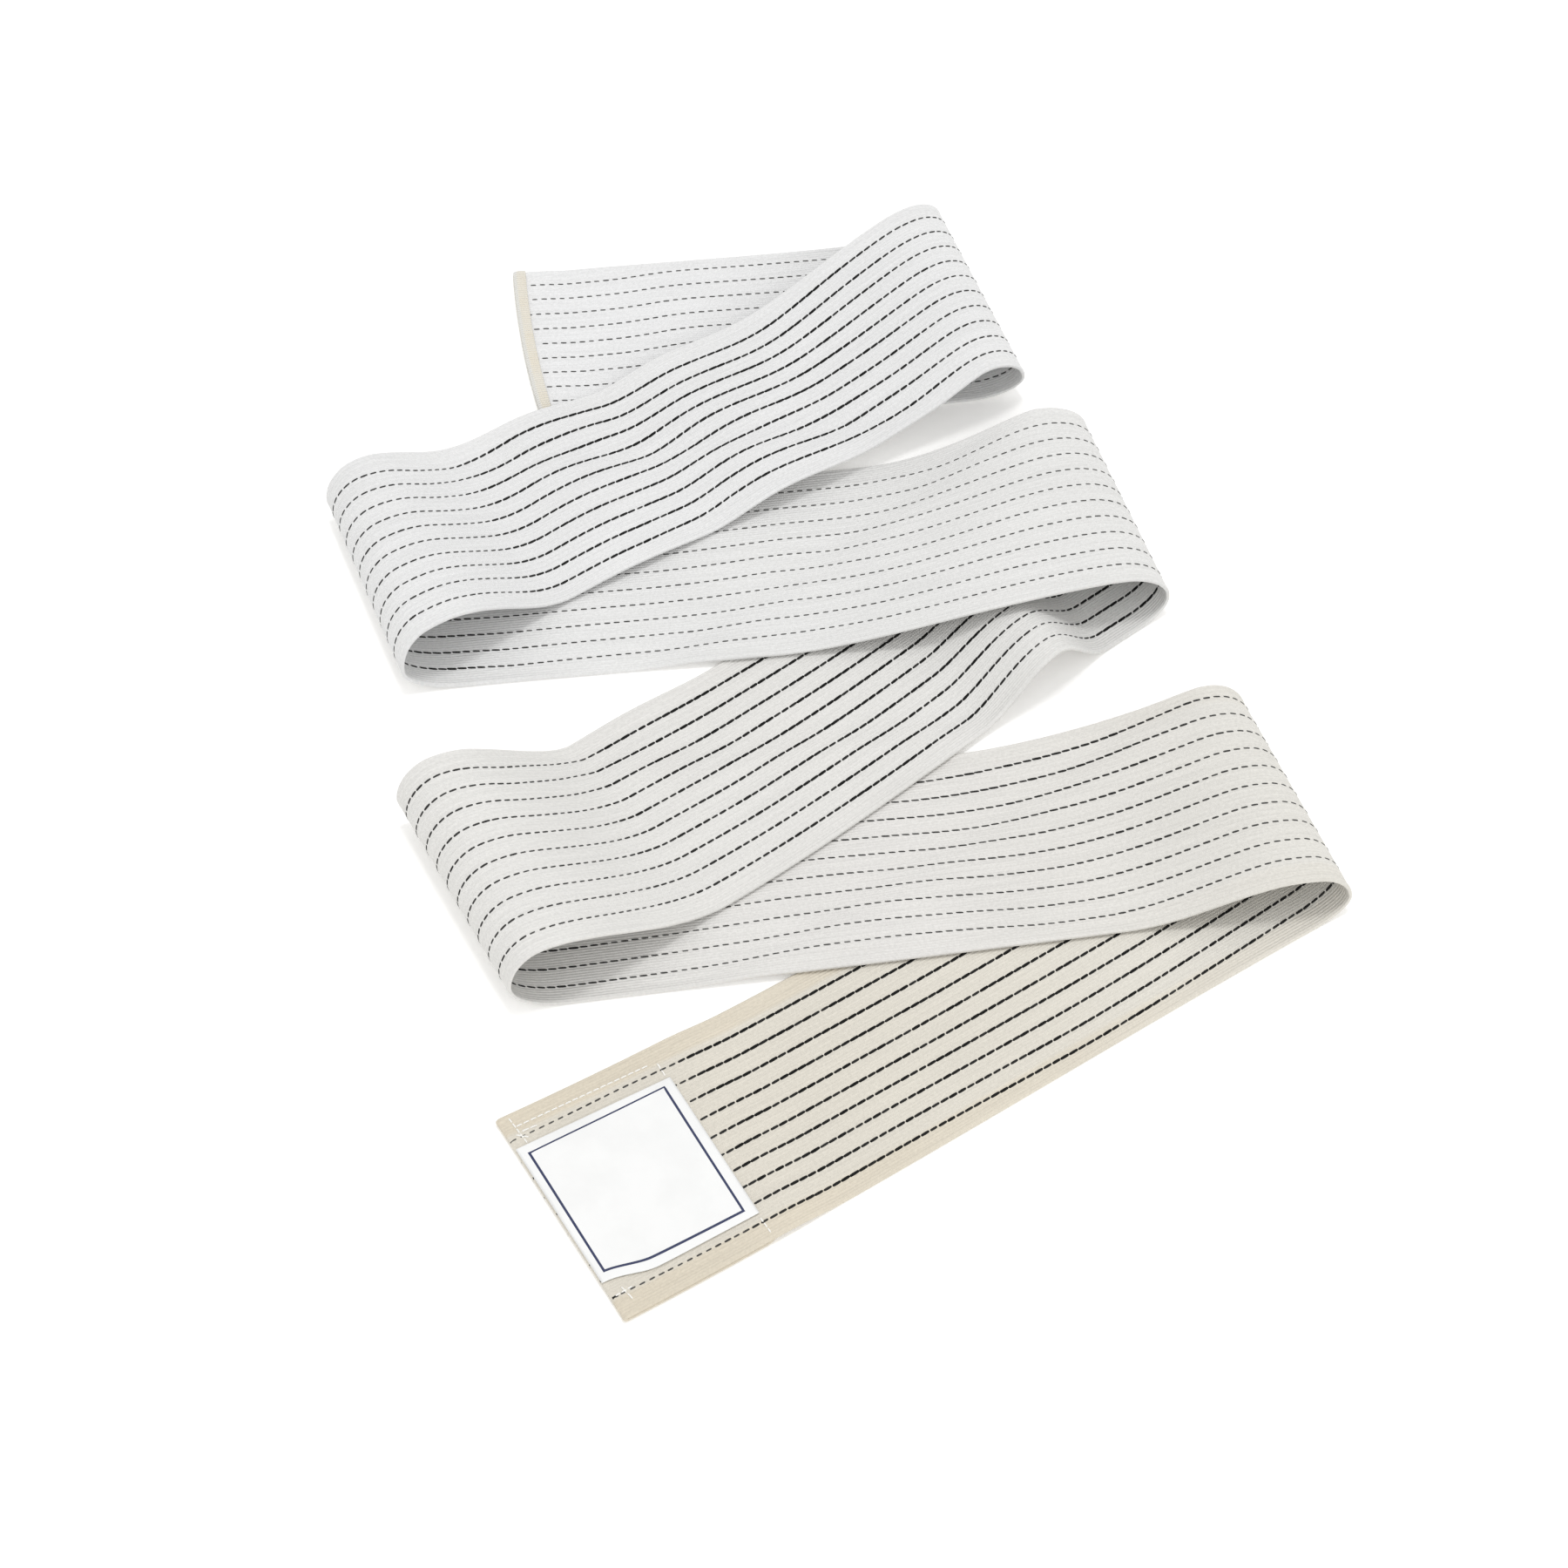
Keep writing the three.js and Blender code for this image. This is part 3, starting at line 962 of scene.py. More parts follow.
@dataclass(frozen=True)
class ElasticFinish(Finish):
    """The woven elastic: warm at the label end and white towards the tail, with creamy margins."""

    lay: BandLay
    margin: Pair = (0.0078, 0.0102)
    margin_tint: Colour = (0.985, 0.945, 0.875)
    cream: Pair = (0.93, 0.02)
    fine_ribbing: float = 0.75
    grain: Pair = (0.945, 1.035)
    streak: Pair = (0.965, 1.03)
    cloud: Pair = (0.985, 1.012)
    roughness: Pair = (0.80, 0.96)
    bump: Pair = (0.55, 0.00016)

    def material(self) -> bpy.types.Material:
        """Builds the material.

        Returns:
            The material.
        """
        board, material, cloth = self.begin("elastic_cloth")
        fine = board.node("Attribute", attribute_name="fine_face").outputs["Fac"]
        place = board.node("SeparateXYZ", {0: cloth}).outputs
        tone = self.ramp(board, place[0])
        edge = board.math("MINIMUM", place[1], board.math("SUBTRACT", BAND_WIDTH * MM, place[1]))
        margin = board.ranged(edge, *self.margin, to=(1.0, 0.0))
        ribbing = board.math("MAXIMUM", board.math("MULTIPLY", fine, self.fine_ribbing), margin)
        weave = self.effect(board, Effects.weave(), {"Cloth": cloth, "Ribbing": ribbing})
        tone_and_shade = self.effect(board, Effects.handling(), {"Place": board.node("TexCoord").outputs["Object"]})
        warm = board.math("MULTIPLY", margin, self.warmth(board, place[0]))
        tone = board.blend(warm, tone, (*self.margin_tint, 1.0), "MULTIPLY")
        grain = board.ranged(weave["Grain"], 0.3, 0.72, to=self.grain)
        streak = board.ranged(weave["Streak"], 0.25, 0.75, to=self.streak)
        cloud = board.ranged(tone_and_shade["Tone"], 0.3, 0.7, to=self.cloud)
        shade = board.math("MULTIPLY", grain, streak, cloud)
        shade = board.node("CombineXYZ", {0: shade, 1: shade, 2: shade}).outputs[0]
        tone = board.node("VectorMath", {0: tone, 1: shade}, operation="MULTIPLY").outputs[0]
        rough = board.ranged(weave["Grain"], 0.2, 0.8, to=self.roughness)
        sheen = {"Sheen Weight": 0.12, "Sheen Roughness": 0.5, "Specular IOR Level": 0.25}
        return self.close(material, weave["Height"], {"Base Color": tone, "Roughness": rough, **sheen})

    def ramp(self, board: NodeBoard, along: bpy.types.NodeSocket) -> bpy.types.NodeSocket:
        """The cloth's colour along the band.

        Args:
            board: the material's board.
            along: length along the band.

        Returns:
            The colour there.
        """
        starts = self.lay.pass_starts
        total = starts[-1]
        node = board.node("ValToRGB", {0: board.math("DIVIDE", along, total * MM)})
        stops = node.color_ramp.elements
        while len(stops) < len(CLOTH_TONES):
            stops.new(1.0)
        for stop, row in zip(stops, CLOTH_TONES):
            stop.position = float(np.interp(row.at, np.arange(len(starts)), starts) / total)
            stop.color = (*row.colour, 1.0)
        return node.outputs[0]

    def warmth(self, board: NodeBoard, along: bpy.types.NodeSocket) -> bpy.types.NodeSocket:
        """How creamy the margins are along the band."""
        starts = self.lay.pass_starts * MM
        return board.ranged(along, float(starts[0]), float(starts[1:3].mean()), to=self.cream)


@dataclass(frozen=True)
class YarnFinish(Finish):
    """The dark pattern yarn, near black where it floats long and grey where it is tucked."""

    bold: Colour = (0.006, 0.006, 0.0058)
    tucked: Colour = (0.115, 0.113, 0.11)
    fluff: Colour = (0.25, 0.25, 0.25)
    lift: Pair = (0.0, 0.03)
    roughness: Pair = (0.78, 0.95)
    bump: Pair = (0.5, 0.00008)

    def material(self) -> bpy.types.Material:
        """Builds the material.

        Returns:
            The material.
        """
        board, material, thread = self.begin("pattern_yarn")
        ink = board.node("Attribute", attribute_name="ink").outputs["Fac"]
        twist = self.effect(board, Effects.twist(), {"Thread": thread, "Ply Pitch": 0.0009, "Slant": 0.8})
        tone = board.blend(ink, (*self.tucked, 1.0), (*self.bold, 1.0))
        lift = board.ranged(twist["Shade"], 0.2, 0.9, to=self.lift)
        tone = board.blend(lift, tone, (*self.fluff, 1.0))
        rough = board.ranged(twist["Shade"], 0.2, 0.9, to=self.roughness)
        looks = {"Base Color": tone, "Roughness": rough, "Specular IOR Level": 0.12}
        return self.close(material, twist["Height"], looks)


@dataclass(frozen=True)
class ThreadFinish(Finish):
    """Sewing thread in one colour, with its twist."""

    name: str
    colour: Colour
    ply: float = 0.0007
    shadow: float = 0.82
    roughness: Pair = (0.55, 0.75)
    bump: Pair = (0.4, 0.00006)

    def material(self) -> bpy.types.Material:
        """Builds the material.

        Returns:
            The material.
        """
        board, material, thread = self.begin(self.name)
        twist = self.effect(board, Effects.twist(), {"Thread": thread, "Ply Pitch": self.ply})
        low = tuple(c * self.shadow for c in self.colour)
        tone = board.blend(board.ranged(twist["Shade"], 0.2, 0.8), (*low, 1.0), (*self.colour, 1.0))
        rough = board.ranged(twist["Shade"], 0.2, 0.8, to=self.roughness)
        looks = {"Base Color": tone, "Roughness": rough, "Specular IOR Level": 0.35}
        return self.close(material, twist["Height"], looks)


@dataclass(frozen=True)
class SatinFinish(Finish):
    """A smooth woven label: fine satin threads across it, with painted shade clouds in its colour."""

    name: str
    colour: Colour
    gloss: Pair = (0.38, 0.52)
    shadow: float = 0.955
    bump: Pair = (0.18, 0.00004)

    def material(self) -> bpy.types.Material:
        """Builds the material.

        Returns:
            The material.
        """
        board, material, cloth = self.begin(self.name)
        threads = {"Cloth": cloth, "Rib Pitch": 0.00028, "Pick Pitch": 0.0011, "Ribbing": 0.85}
        weave = self.effect(board, Effects.weave(), threads)
        # Painted shade and highlight: broad tone clouds darken the label a little, standing in for the light
        # on its faint waves.
        tone_and_shade = self.effect(board, Effects.handling(), {"Place": cloth, "Spread": 45.0})
        low = tuple(c * self.shadow for c in self.colour)
        tone = board.blend(board.ranged(tone_and_shade["Tone"], 0.35, 0.65), (*low, 1.0), (*self.colour, 1.0))
        rough = board.ranged(tone_and_shade["Tone"], 0.3, 0.7, to=self.gloss)
        sheen = {"Specular IOR Level": 0.5, "Sheen Weight": 0.08}
        return self.close(material, weave["Height"], {"Base Color": tone, "Roughness": rough, **sheen})


@dataclass(frozen=True)
class TapeFinish(Finish):
    """The tail's binding, closely overlocked: cream, and whiter where it turns round the end."""

    colour: Colour = (0.755, 0.722, 0.645)
    turned: Colour = (0.735, 0.735, 0.715)
    turn: Pair = (0.0034, 0.0046)
    warmth: Colour = (1.0, 0.965, 0.90)
    roughness: Pair = (0.72, 0.92)
    bump: Pair = (0.5, 0.00015)

    def material(self) -> bpy.types.Material:
        """Builds the material.

        Returns:
            The material.
        """
        board, material, cloth = self.begin("binding_tape")
        threads = {"Cloth": cloth, "Rib Pitch": 0.0008, "Pick Pitch": 0.0007, "Ribbing": 0.35}
        weave = self.effect(board, Effects.weave(), threads)
        tone_and_shade = self.effect(board, Effects.handling(), {"Place": cloth, "Spread": 60.0})
        warm = tuple(c * f for c, f in zip(self.colour, self.warmth))
        share = board.ranged(tone_and_shade["Tone"], 0.35, 0.65)
        tone = board.blend(share, (*warm, 1.0), (*self.colour, 1.0))
        round_end = board.ranged(board.node("SeparateXYZ", {0: cloth}).outputs[1], *self.turn)
        tone = board.blend(round_end, tone, (*self.turned, 1.0))
        rough = board.ranged(weave["Grain"], 0.2, 0.8, to=self.roughness)
        sheen = {"Sheen Weight": 0.1, "Specular IOR Level": 0.25}
        return self.close(material, weave["Height"], {"Base Color": tone, "Roughness": rough, **sheen})


def settle(piece: bpy.types.Object, stands_for: str | None = None) -> bpy.types.Object:
    """Ties a piece to the part.

    Args:
        piece: the object.
        stands_for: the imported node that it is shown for, if any.

    Returns:
        The piece.
    """
    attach(piece, BODY)
    if stands_for:
        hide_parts(stands_for)
    LOG.info("%s: %d faces", piece.name, len(piece.data.polygons))
    return piece


@dataclass
class ElasticBand:
    """The woven strip itself, with slightly thicker selvedges."""

    lay: BandLay
    half: float = 0.68
    bead: float = 0.17
    bead_shift: float = 0.10
    body_columns: int = 31
    edge_depths: tuple[float, ...] = (0.0, 0.08, 0.3, 0.7, 1.2, 1.8, 2.5, 3.3)
    edge_round: tuple[float, ...] = (0.0, 0.42, 0.76, 0.95, 1.0, 1.0, 1.0, 1.0)
    edge_bead: tuple[float, ...] = (1.0, 1.0, 1.0, 1.0, 1.0, 0.75, 0.3, 0.0)

    @cached_property
    def places(self) -> Array:
        """Places of the sheet's points across the band, as shares of its width."""
        rim = np.array(self.edge_depths) / BAND_WIDTH
        body = np.linspace(rim[-1], 1 - rim[-1], self.body_columns + 2)[1:-1]
        return np.concatenate([rim, body, 1 - rim[::-1]])

    def shape(self) -> Shape:
        """The closed sheet.

        Returns:
            Its shape, with the fine face marked.
        """
        w = self.places
        flat = np.zeros(self.body_columns)
        rounded = np.concatenate([self.edge_round, flat + 1, self.edge_round[::-1]])
        bead = np.concatenate([self.edge_bead, flat, self.edge_bead[::-1]])
        rows = self.lay.rows(w)
        tilt = surface_normals(rows)[..., 2]
        upper = rounded * (self.half + bead * (self.bead + self.bead_shift * tilt))
        lower = rounded * (self.half + bead * (self.bead - self.bead_shift * tilt))
        along = run_length(rows) * MM
        cloth = np.stack([along, np.broadcast_to(w * (BAND_WIDTH * MM), along.shape)], -1)
        none = np.zeros_like(along)
        side = np.where((w > 0) & (w < 1), 1.0, 0.5)
        faces = {"fine_face": (none + (side < 1) * 0.5, none + side)}
        return sheet_shape(rows, upper, lower, cloth, faces)

    def build(self) -> bpy.types.Object:
        """Makes the band."""
        piece = self.shape().piece("woven_band", ElasticFinish(self.lay).material())
        return settle(piece, "elastic_band")


@dataclass
class PatternYarns:
    """Ten dark yarns along the band, which float on one face and then on the other.

    A float is a low dome. taper and dome are its width and height at its places along, and arch is its height
    at its places beside the middle. jitter is the spread of the floats' places, boldness and lengths.
    """

    lay: BandLay
    places: Array
    lines: int = 10
    first: float = 0.10
    spacing: float = 0.0889
    pitch: float = 4.1
    half: float = 0.69
    crown: Pair = (0.05, 0.24)
    width: Pair = (0.68, 1.55)
    share: Pair = (0.56, 1.05)
    slant: float = 0.05
    along: tuple[float, ...] = (-1.0, -0.78, 0.0, 0.78, 1.0)
    taper: tuple[float, ...] = (0.32, 0.88, 1.0, 0.88, 0.32)
    dome: tuple[float, ...] = (-0.05, 0.78, 1.0, 0.78, -0.05)
    beside: tuple[float, ...] = (-1.0, -0.6, 0.0, 0.6, 1.0)
    arch: tuple[float, ...] = (-0.25, 0.72, 1.0, 0.72, -0.25)
    jitter: Triple = (0.07, 0.06, 0.04)
    start: dict[Face, float] = field(default_factory=lambda: {Face.BOLD: 0.25, Face.FINE: 0.75})
    stagger: Pair = (0.35, 2.1)
    head: float = 1.0
    end_room: float = 1.5
    least: float = 0.05
    feel: float = 0.0125
    drift_places: Triple = (0.15, 0.5, 0.85)
    smooth_rows: int = 7
    under: dict[Face, float] = field(default_factory=lambda: {Face.BOLD: 0.8, Face.FINE: 0.35})

    @cached_property
    def surface(self) -> Array:
        """Mid surface of the band at its own places across."""
        return self.lay.rows(self.places)

    def drift(self, line: int) -> Array:
        """How far one line wanders.

        Args:
            line: the line, from the near edge.

        Returns:
            The shift at each row, as a share of the band's width.
        """
        w = self.first + self.spacing * line
        x = self.surface[:, len(self.places) // 2, 0] + self.lay.centre[0]
        found = np.zeros(len(x))
        for index in range(len(PASSES)):
            table = [row for row in DRIFTS if row.at_pass == index]
            values = [float(np.interp(w, self.drift_places, (r.near, r.middle, r.far))) for r in table]
            here = self.lay.row_pass == index if index else self.lay.row_pass <= 0
            found[here] = np.interp(x[here], [r.x for r in table], values)
        window = np.full(self.smooth_rows, 1 / self.smooth_rows)
        return np.convolve(np.pad(found, self.smooth_rows // 2, "edge"), window, "valid") / BAND_WIDTH

    def strand(self, w: Array) -> Array:
        """A line along the mid surface.

        Args:
            w: its place across the band at each row.

        Returns:
            A point for each row.
        """
        w = np.clip(w, 0.0, 1.0)
        left = np.clip(np.searchsorted(self.places, w) - 1, 0, len(self.places) - 2)
        share = (w - self.places[left]) / (self.places[left + 1] - self.places[left])
        rows = np.arange(len(w))
        return mix(self.surface[rows, left], self.surface[rows, left + 1], share[:, None])

    def boldness(self, face: Face, line: int, x: Array) -> Array:
        """How bold each row of one line is.

        Args:
            face: the face of the band.
            line: the line, from the near edge.
            x: the rows' places in the tables.

        Returns:
            From 0, tucked and thin, to 1, bold.
        """
        w = self.first + self.spacing * line
        found = np.full(len(x), self.under[face])
        for index in range(len(PASSES)):
            if (index % 2 == 0) is not (face is Face.BOLD):
                continue
            table = [row for row in BOLDNESS if row.at_pass == index]
            values = np.interp(x, [r.x for r in table], [mix(r.near, r.far, w) for r in table])
            found = np.where(self.lay.row_pass == index, values, found)
        return found

    def floats(self, face: Face, line: int, run: Array, bold: Array) -> tuple[Array, Array, Array]:
        """Where the floats of one yarn are on one face.

        Args:
            face: the face of the band.
            line: the line, from the near edge.
            run: length along the line at each row.
            bold: boldness at each row.

        Returns:
            Each float's place along the line, its boldness and half its length.
        """
        chance = np.random.default_rng(100 * line + (face is Face.BOLD))
        count = int(run[-1] / self.pitch) - 1
        stagger = self.stagger[0] * math.sin(self.stagger[1] * line)
        at = (np.arange(count) + self.start[face] + stagger) * self.pitch + self.head
        at = np.clip(at + chance.normal(0, self.jitter[0], count), self.end_room, run[-1] - self.end_room)
        ink = np.clip(np.interp(at, run, bold) + chance.normal(0, self.jitter[1], count), self.least, 1.0)
        long = self.pitch * mix(*self.share, ink**2) * (1 + chance.normal(0, self.jitter[2], count))
        return at, ink, 0.5 * long

    def line_shape(self, face: Face, line: int) -> Shape:
        """All floats of one yarn on one face.

        Args:
            face: the face of the band.
            line: the line, from the near edge.

        Returns:
            Their domes, each with its boldness as ink.
        """
        w = self.first + self.spacing * line + self.drift(line)
        mid, across = self.strand(w), unit(self.strand(w + self.feel) - self.strand(w - self.feel))
        normal = unit(np.cross(np.gradient(mid, axis=0), across)) * face.value
        run = run_length(mid)
        bold = self.boldness(face, line, mid[:, 0] + self.lay.centre[0])
        at, ink, half_long = self.floats(face, line, run, bold)
        half_wide = 0.5 * mix(*self.width, ink**2)
        s = at[:, None] + half_long[:, None] * self.along
        centre, up, sideways = (
            np.stack([np.interp(s, run, v[:, c]) for c in range(3)], -1) for v in (mid, normal, across)
        )
        up, sideways = unit(up), unit(sideways)
        crown = mix(*self.crown, ease(0.5 + 0.5 * up[..., 2]))
        height = self.half + crown[..., None] * np.minimum(np.array(self.dome)[:, None], self.arch)
        shift = self.slant * (s - at[:, None])
        offset = shift[..., None] + (half_wide[:, None] * self.taper)[..., None] * self.beside
        points = centre[..., None, :] + up[..., None, :] * height[..., None]
        points = points + sideways[..., None, :] * offset[..., None]
        each = len(self.along) * len(self.beside)
        quads = grid_quads(len(self.along), len(self.beside))
        quads = quads if face is Face.BOLD else quads[:, ::-1]
        quads = (quads[None] + each * np.arange(len(at))[:, None, None]).reshape(-1, 4)
        cloth = np.stack([np.broadcast_to(s[..., None], offset.shape), offset], -1) * MM
        return Shape(points.reshape(-1, 3), quads, cloth.reshape(-1, 2), {"ink": np.repeat(ink, each)})

    def build(self) -> list[bpy.types.Object]:
        """Makes the floats.

        Returns:
            A piece for each face.
        """
        material = YarnFinish().material()
        pieces = []
        for face in Face:
            shape = Shape.joined([self.line_shape(face, line) for line in range(self.lines)])
            pieces.append(settle(shape.piece(f"pattern_yarns_{face.name.lower()}", material)))
        return pieces


@dataclass
class EndLabel:
    """A plain white label on the hemmed end, with a thin dark line round it."""

    lay: BandLay
    corners: tuple[Pair, Pair, Pair, Pair] = ((-1.9, -33.7), (64.4, -37.5), (-0.8, 34.9), (66.5, 33.0))
    size: Pair = (66.5, 70.0)
    line_corners: tuple[Pair, ...] = ((0.048, 0.062), (0.927, 0.052), (0.936, 0.953), (0.054, 0.938))
    line_width: tuple[float, ...] = (1.05, 1.0, 0.72, 1.0)
    line_profile: tuple[Pair, ...] = ((-0.5, 0.0), (-0.25, 0.05), (0.25, 0.05), (0.5, 0.0))
    line_steps: int = 48
    line_reach: float = 0.42
    sag: float = 3.5
    sag_span: Pair = (0.04, 0.33)
    sag_decay: float = 0.45
    sag_soft: float = 0.12
    height: float = 4.02
    half: float = 0.22
    wave: float = 0.096
    wave_lengths: tuple[float, ...] = (9.0, 13.0, 10.0, 31.0)
    rim_share: float = 0.06
    rim_drop: float = 0.14
    rim: tuple[float, ...] = (0.0, 0.0015, 0.005, 0.012)
    rim_round: tuple[float, ...] = (0.0, 0.6, 0.92, 1.0)
    inner: float = 0.02
    rows: int = 61
    columns: int = 58
    white: Colour = (0.83, 0.832, 0.825)
    ink: Colour = (0.012, 0.022, 0.085)
    ink_gloss: Pair = (0.5, 0.6)

    def place(self, s: Array, t: Array) -> tuple[Array, Array]:
        """Places on the label end; the label's near edge bows out.

        Args:
            s: shares along the label.
            t: shares across it, from the near edge.

        Returns:
            Places along and across the label end.
        """
        (nl, nr, fl, fr) = [np.array(c) for c in self.corners]
        s, t = np.asarray(s, float), np.asarray(t, float)
        near, far = mix(nl, nr, s[..., None]), mix(fl, fr, s[..., None])
        p = mix(near, far, t[..., None])
        first, full = self.sag_span
        past = (s - full) / (1 - full)
        fall = 1 - self.sag_decay * (past + np.hypot(past, self.sag_soft))
        drop = self.sag * ease((s - first) / (full - first)) * fall * (1 - t) ** 2
        return p[..., 0], p[..., 1] - drop

    def mid(self, s: Array, t: Array) -> Array:
        """Points of the label's mid surface, faintly wavy inside its rim.

        Args:
            s: shares along the label.
            t: shares across it, from the near edge.

        Returns:
            Points (x, y, z) in the part's frame.
        """
        a, b = self.place(s, t)
        rim = np.minimum(np.minimum(s, 1 - s), np.minimum(t, 1 - t))
        free = ease(rim / self.rim_share)
        long, bend, wide, slope = self.wave_lengths
        waves = np.sin(a / long + 0.6 * np.sin(b / bend)) + 0.7 * np.sin(b / wide - a / slope)
        z = self.height - self.rim_drop * (1 - free) + self.wave * free * waves
        return self.lay.on_label_end(a, b, z)

    def patch(self) -> Shape:
        """The label's closed sheet.

        Returns:
            Its shape.
        """
        s = np.linspace(0, 1, self.rows)
        rim, edge = np.array(self.rim), np.array(self.rim_round)
        t = np.concatenate([rim, np.linspace(self.inner, 1 - self.inner, self.columns), 1 - rim[::-1]])
        thick = self.half * np.concatenate([edge, np.ones(self.columns), edge[::-1]])
        ss, tt = np.meshgrid(s, t, indexing="ij")
        half = np.broadcast_to(thick, ss.shape)
        cloth = np.stack(self.place(ss, tt), -1) * MM
        return sheet_shape(self.mid(ss, tt), half, half, cloth, {})

    def border(self) -> Shape:
        """The dark line: a thin raised ring of thread inside the label's edge, thinner on its far side.

        Returns:
            Its shape.
        """
        corners = np.array([*self.line_corners, self.line_corners[0]])
        share = np.linspace(0, 1, self.line_steps, endpoint=False)[:, None]
        sides = [mix(a, b, share) for a, b in zip(corners[:-1], corners[1:])]
        widths = np.repeat(self.line_width, len(share))
        path = np.concatenate(sides)
        inward = np.sign(0.5 - path) * (np.abs(path - 0.5) > self.line_reach)
        rings, flat = [], []
        for step, rise in self.line_profile:
            s, t = (path + inward * (step * widths)[:, None] / self.size).T
            ring = self.mid(s, t)
            ring[:, 2] += self.half + rise
            rings.append(ring)
            flat.append(np.stack(self.place(s, t), -1) * MM)
        points = np.stack(rings)
        quads = grid_quads(len(rings), len(path), ring=True)[:, ::-1]
        return Shape(points.reshape(-1, 3), quads, np.stack(flat).reshape(-1, 2))

    def build(self) -> list[bpy.types.Object]:
        """Makes the label.

        Returns:
            The patch and its border line.
        """
        patch = self.patch().piece("label_patch", SatinFinish("label_satin", self.white).material())
        line = SatinFinish("label_line", self.ink, self.ink_gloss).material()
        border = self.border().piece("label_border", line)
        return [settle(patch, "label"), settle(border)]


@dataclass
class HemStitches:
    """Pale stitches that hold the hem, where they show beside the label."""

    lay: BandLay
    surface: float = 3.23
    radius: float = 0.36
    pitch: float = 3.0
    gap: float = 0.5
    sink: float = 0.18
    arch: float = 0.34
    points: int = 9
    colour: Colour = (0.96, 0.945, 0.90)
    seams: tuple[tuple[Pair, Pair], ...] = (
        ((3.9, 49.2), (4.6, 35.2)),
        ((2.4, 41.0), (6.6, 37.4)),
        ((4.4, 44.2), (62.0, 42.2)),
        ((5.2, 41.2), (12.0, 40.6)),
        ((-0.4, -40.8), (7.6, -40.4)),
        ((3.6, -38.2), (4.8, -45.4)),
        ((63.8, -39.4), (63.9, -47.4)),
        ((65.6, 41.6), (65.4, 34.4)),
    )

    def build(self) -> bpy.types.Object:
        """Makes all stitches.

        Returns:
            The piece.
        """
        parts = []
        for start, stop in self.seams:
            a, b = np.array(start), np.array(stop)
            length = float(np.linalg.norm(b - a))
            count = max(1, round(length / self.pitch))
            for k in range(count):
                first, last = k * length / count, (k + 1) * length / count
                t = np.linspace(first + self.gap / 2, last - self.gap / 2, self.points)
                place = a + (b - a) * (t / length)[:, None]
                arch = np.sin(np.linspace(0, math.pi, self.points)) ** 0.5
                z = self.surface - self.sink + self.arch * arch
                path = self.lay.on_label_end(place[:, 0], place[:, 1], z)
                parts.append(thread_shape(path, self.radius, start=float(t[0])))
        material = ThreadFinish("hem_thread", self.colour).material()
        return settle(Shape.joined(parts).piece("hem_stitches", material))


@dataclass
class TailBinding:
    """A cream tape folded round the cut end of the tail, with overlocking threads across it."""

    lay: BandLay
    steps: int = 64
    pitch: float = 1.25
    thread: float = 0.2
    thread_sides: int = 5
    thread_lift: float = 0.04
    thread_lean: float = 0.35
    thread_phase: float = 7.0
    thread_room: Pair = (1.0, 0.8)
    thread_colour: Colour = (0.79, 0.765, 0.70)
    half: float = 0.34
    nose: float = 0.94
    leg: tuple[Pair, ...] = (
        (-4.30, 1.16), (-4.18, 1.19), (-3.9, 1.24), (-3.0, 1.34), (-1.9, 1.40),
        (-0.8, 1.38), (0.1, 1.20), (0.64, 0.86), (0.88, 0.42),
    )

    @cached_property
    def spine(self) -> Array:
        """The tape's mid line in section, as (outward, upward), from the upper leg to the lower."""
        upper = np.array(self.leg)
        return np.concatenate([upper, [[self.nose, 0.0]], upper[::-1] * [1, -1]])

    @cached_property
    def rows(self) -> Array:
        """The tape's mid surface along the tail's end line."""
        tail = self.lay.rows(np.linspace(0.0, 1.0, self.steps + 1))[-1]
        run = unit(np.gradient(tail, axis=0) * [1, 1, 0])
        out = np.stack([-run[:, 1], run[:, 0], np.zeros(len(run))], 1)
        rows = tail[:, None] + out[:, None] * self.spine[None, :, :1]
        rows[..., 2] += self.spine[:, 1]
        return rows

    @cached_property
    def run(self) -> Array:
        """Length along the tape's outermost line."""
        return run_length(self.rows[:, len(self.leg)])

    def tape(self) -> Shape:
        """The folded tape.

        Returns:
            Its shape.
        """
        rim = np.ones(len(self.spine))
        rim[[0, -1]], rim[[1, -2]] = 0.0, 0.75
        half = np.broadcast_to(self.half * rim, self.rows.shape[:2])
        length = np.repeat(self.run[:, None], len(rim), 1)
        cloth = np.stack([length, np.broadcast_to(run_length(self.spine), length.shape)], -1) * MM
        return sheet_shape(self.rows, half, half, cloth, {})

    def threads(self) -> Shape:
        """Threads that wrap the tape, slightly slanted.

        Returns:
            Their shapes as one.
        """
        rows = self.rows + surface_normals(self.rows) * (self.half + self.thread_lift)
        run, (before, after) = self.run, self.thread_room
        lean = np.linspace(-self.thread_lean, self.thread_lean, rows.shape[1])
        parts = []
        for k, at in enumerate(np.arange(before, run[-1] - after, self.pitch)):
            place = np.clip(at + lean, 0, run[-1])
            path = [[np.interp(p, run, rows[:, j, c]) for c in range(3)] for j, p in enumerate(place)]
            parts.append(thread_shape(np.array(path), self.thread, self.thread_phase * k, self.thread_sides))
        return Shape.joined(parts)

    def build(self) -> list[bpy.types.Object]:
        """Makes the binding.

        Returns:
            The tape and its threads.
        """
        tape = self.tape().piece("binding_tape", TapeFinish().material())
        material = ThreadFinish("binding_thread", self.thread_colour).material()
        threads = self.threads().piece("binding_threads", material)
        return [settle(tape, "tail_binding"), settle(threads)]


@dataclass(frozen=True)
class Sun:
    """A far light: its strength, its spread in degrees and the side that it shines from."""

    name: str
    energy: float
    spread: float
    source: Triple


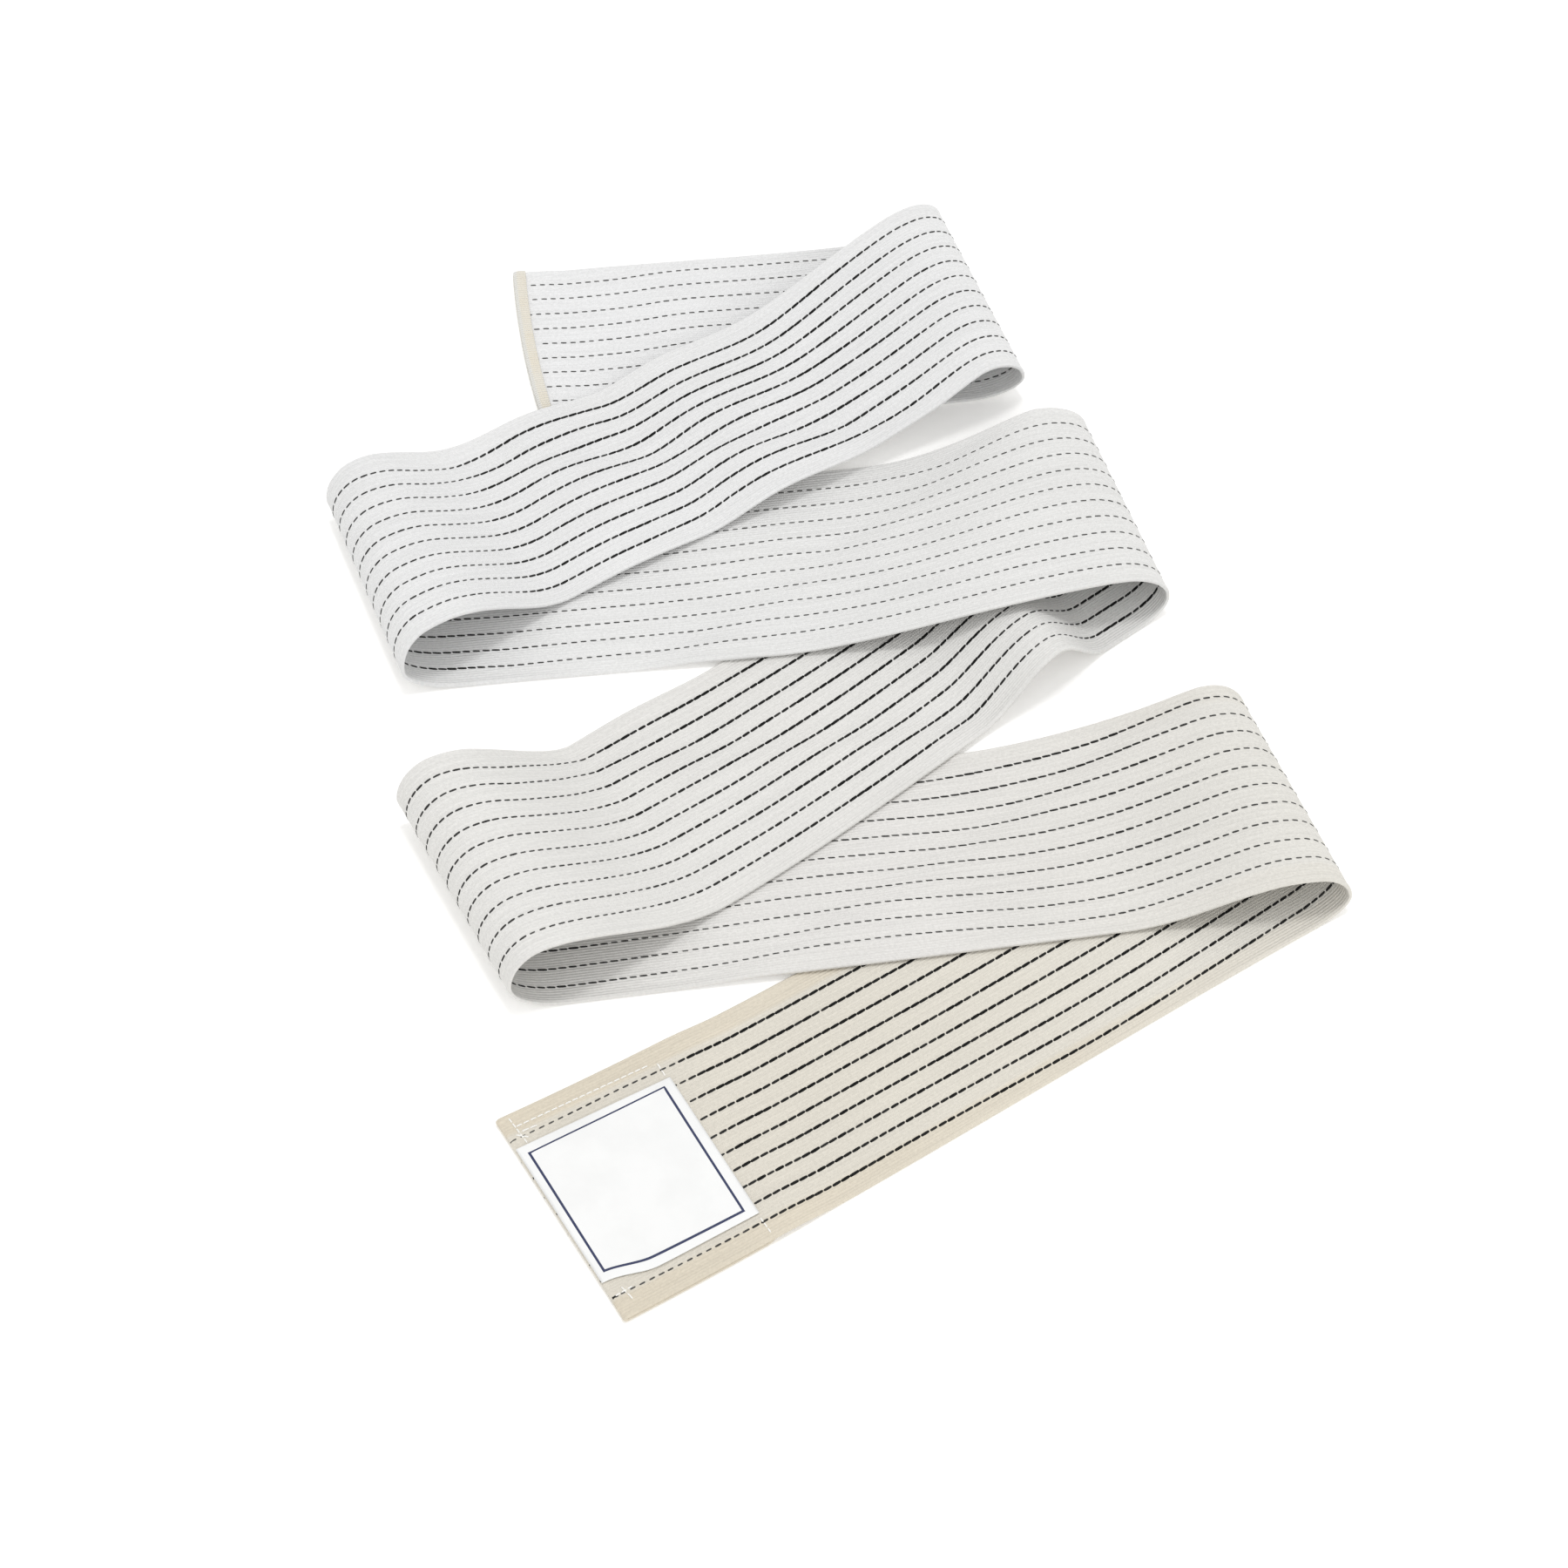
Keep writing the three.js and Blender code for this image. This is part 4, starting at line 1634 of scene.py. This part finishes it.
@dataclass
class Studio:
    """Pale floor, soft overhead light and the camera."""

    azimuth: float = -21.3
    elevation: float = 52.8
    distance: float = 1.781
    target: Triple = (-0.01277, -0.04779, 0.0)
    lens: float = 100.0
    sensor: float = 36.0
    sky: float = 0.86
    suns: tuple[Sun, ...] = (
        Sun("overhead", 0.75, 12.0, (0.10, 0.16, 1.0)),
        Sun("fill", 0.42, 50.0, (0.05, -0.82, 0.57)),
    )
    floor_size: float = 30.0
    paper: Colour = (0.93, 0.93, 0.925)
    glow: Colour = (1.0, 0.97, 0.92)
    glow_strength: float = 0.16

    def camera(self) -> bpy.types.Object:
        """Sets the camera at the photograph's angle.

        Returns:
            The camera.
        """
        a, e = math.radians(self.azimuth), math.radians(self.elevation)
        back = Vector((math.sin(a) * math.cos(e), -math.cos(a) * math.cos(e), math.sin(e)))
        camera = bpy.data.objects.new("camera", bpy.data.cameras.new("camera"))
        camera.data.lens, camera.data.sensor_width = self.lens, self.sensor
        camera.location = Vector(self.target) + back * self.distance
        camera.rotation_mode = "QUATERNION"
        camera.rotation_quaternion = (-back).to_track_quat("-Z", "Y")
        bpy.context.scene.collection.objects.link(camera)
        bpy.context.scene.camera = camera
        return camera

    def floor(self) -> bpy.types.Object:
        """Lays a pale plain floor, which glows a little so that shadows stay pale.

        Returns:
            The floor.
        """
        half = self.floor_size / 2
        mesh = bpy.data.meshes.new("floor")
        corners = [(-half, -half, 0), (half, -half, 0), (half, half, 0), (-half, half, 0)]
        mesh.from_pydata(corners, [], [(0, 1, 2, 3)])
        material = bpy.data.materials.new("floor_paper")
        material.use_nodes = True
        sockets = material.node_tree.nodes["Principled BSDF"].inputs
        sockets["Base Color"].default_value = (*self.paper, 1.0)
        sockets["Roughness"].default_value = 0.9
        sockets["Specular IOR Level"].default_value = 0.1
        sockets["Emission Color"].default_value = (*self.glow, 1.0)
        sockets["Emission Strength"].default_value = self.glow_strength
        mesh.materials.append(material)
        floor = bpy.data.objects.new("floor", mesh)
        bpy.context.scene.collection.objects.link(floor)
        return floor

    def lights(self) -> None:
        """White surroundings, one soft light from above and a weak one from the near side."""
        scene = bpy.context.scene
        scene.world = bpy.data.worlds.new("surroundings")
        scene.world.use_nodes = True
        sky = scene.world.node_tree.nodes["Background"]
        sky.inputs["Color"].default_value = (1.0, 1.0, 1.0, 1.0)
        sky.inputs["Strength"].default_value = self.sky
        for sun in self.suns:
            light = bpy.data.lights.new(sun.name, "SUN")
            light.energy, light.angle = sun.energy, math.radians(sun.spread)
            lamp = bpy.data.objects.new(sun.name, light)
            lamp.rotation_mode = "QUATERNION"
            lamp.rotation_quaternion = Vector(sun.source).to_track_quat("Z", "Y")
            scene.collection.objects.link(lamp)

    def build(self) -> None:
        """Sets the stage."""
        self.camera()
        self.floor()
        self.lights()
        bpy.context.scene.view_settings.view_transform = "Standard"


def main() -> None:
    logging.basicConfig(level=logging.INFO, format="%(message)s")
    lay = BandLay()
    Studio().build()
    strip = ElasticBand(lay)
    band = strip.build()
    yarns = PatternYarns(lay, strip.places).build()
    label, border = EndLabel(lay).build()
    stitches = HemStitches(lay).build()
    tape, threads = TailBinding(lay).build()
    length = float(lay.pass_starts[-1]) * MM
    LOG.info("band %.3f m long", length)


if __name__ == "__main__":
    main()
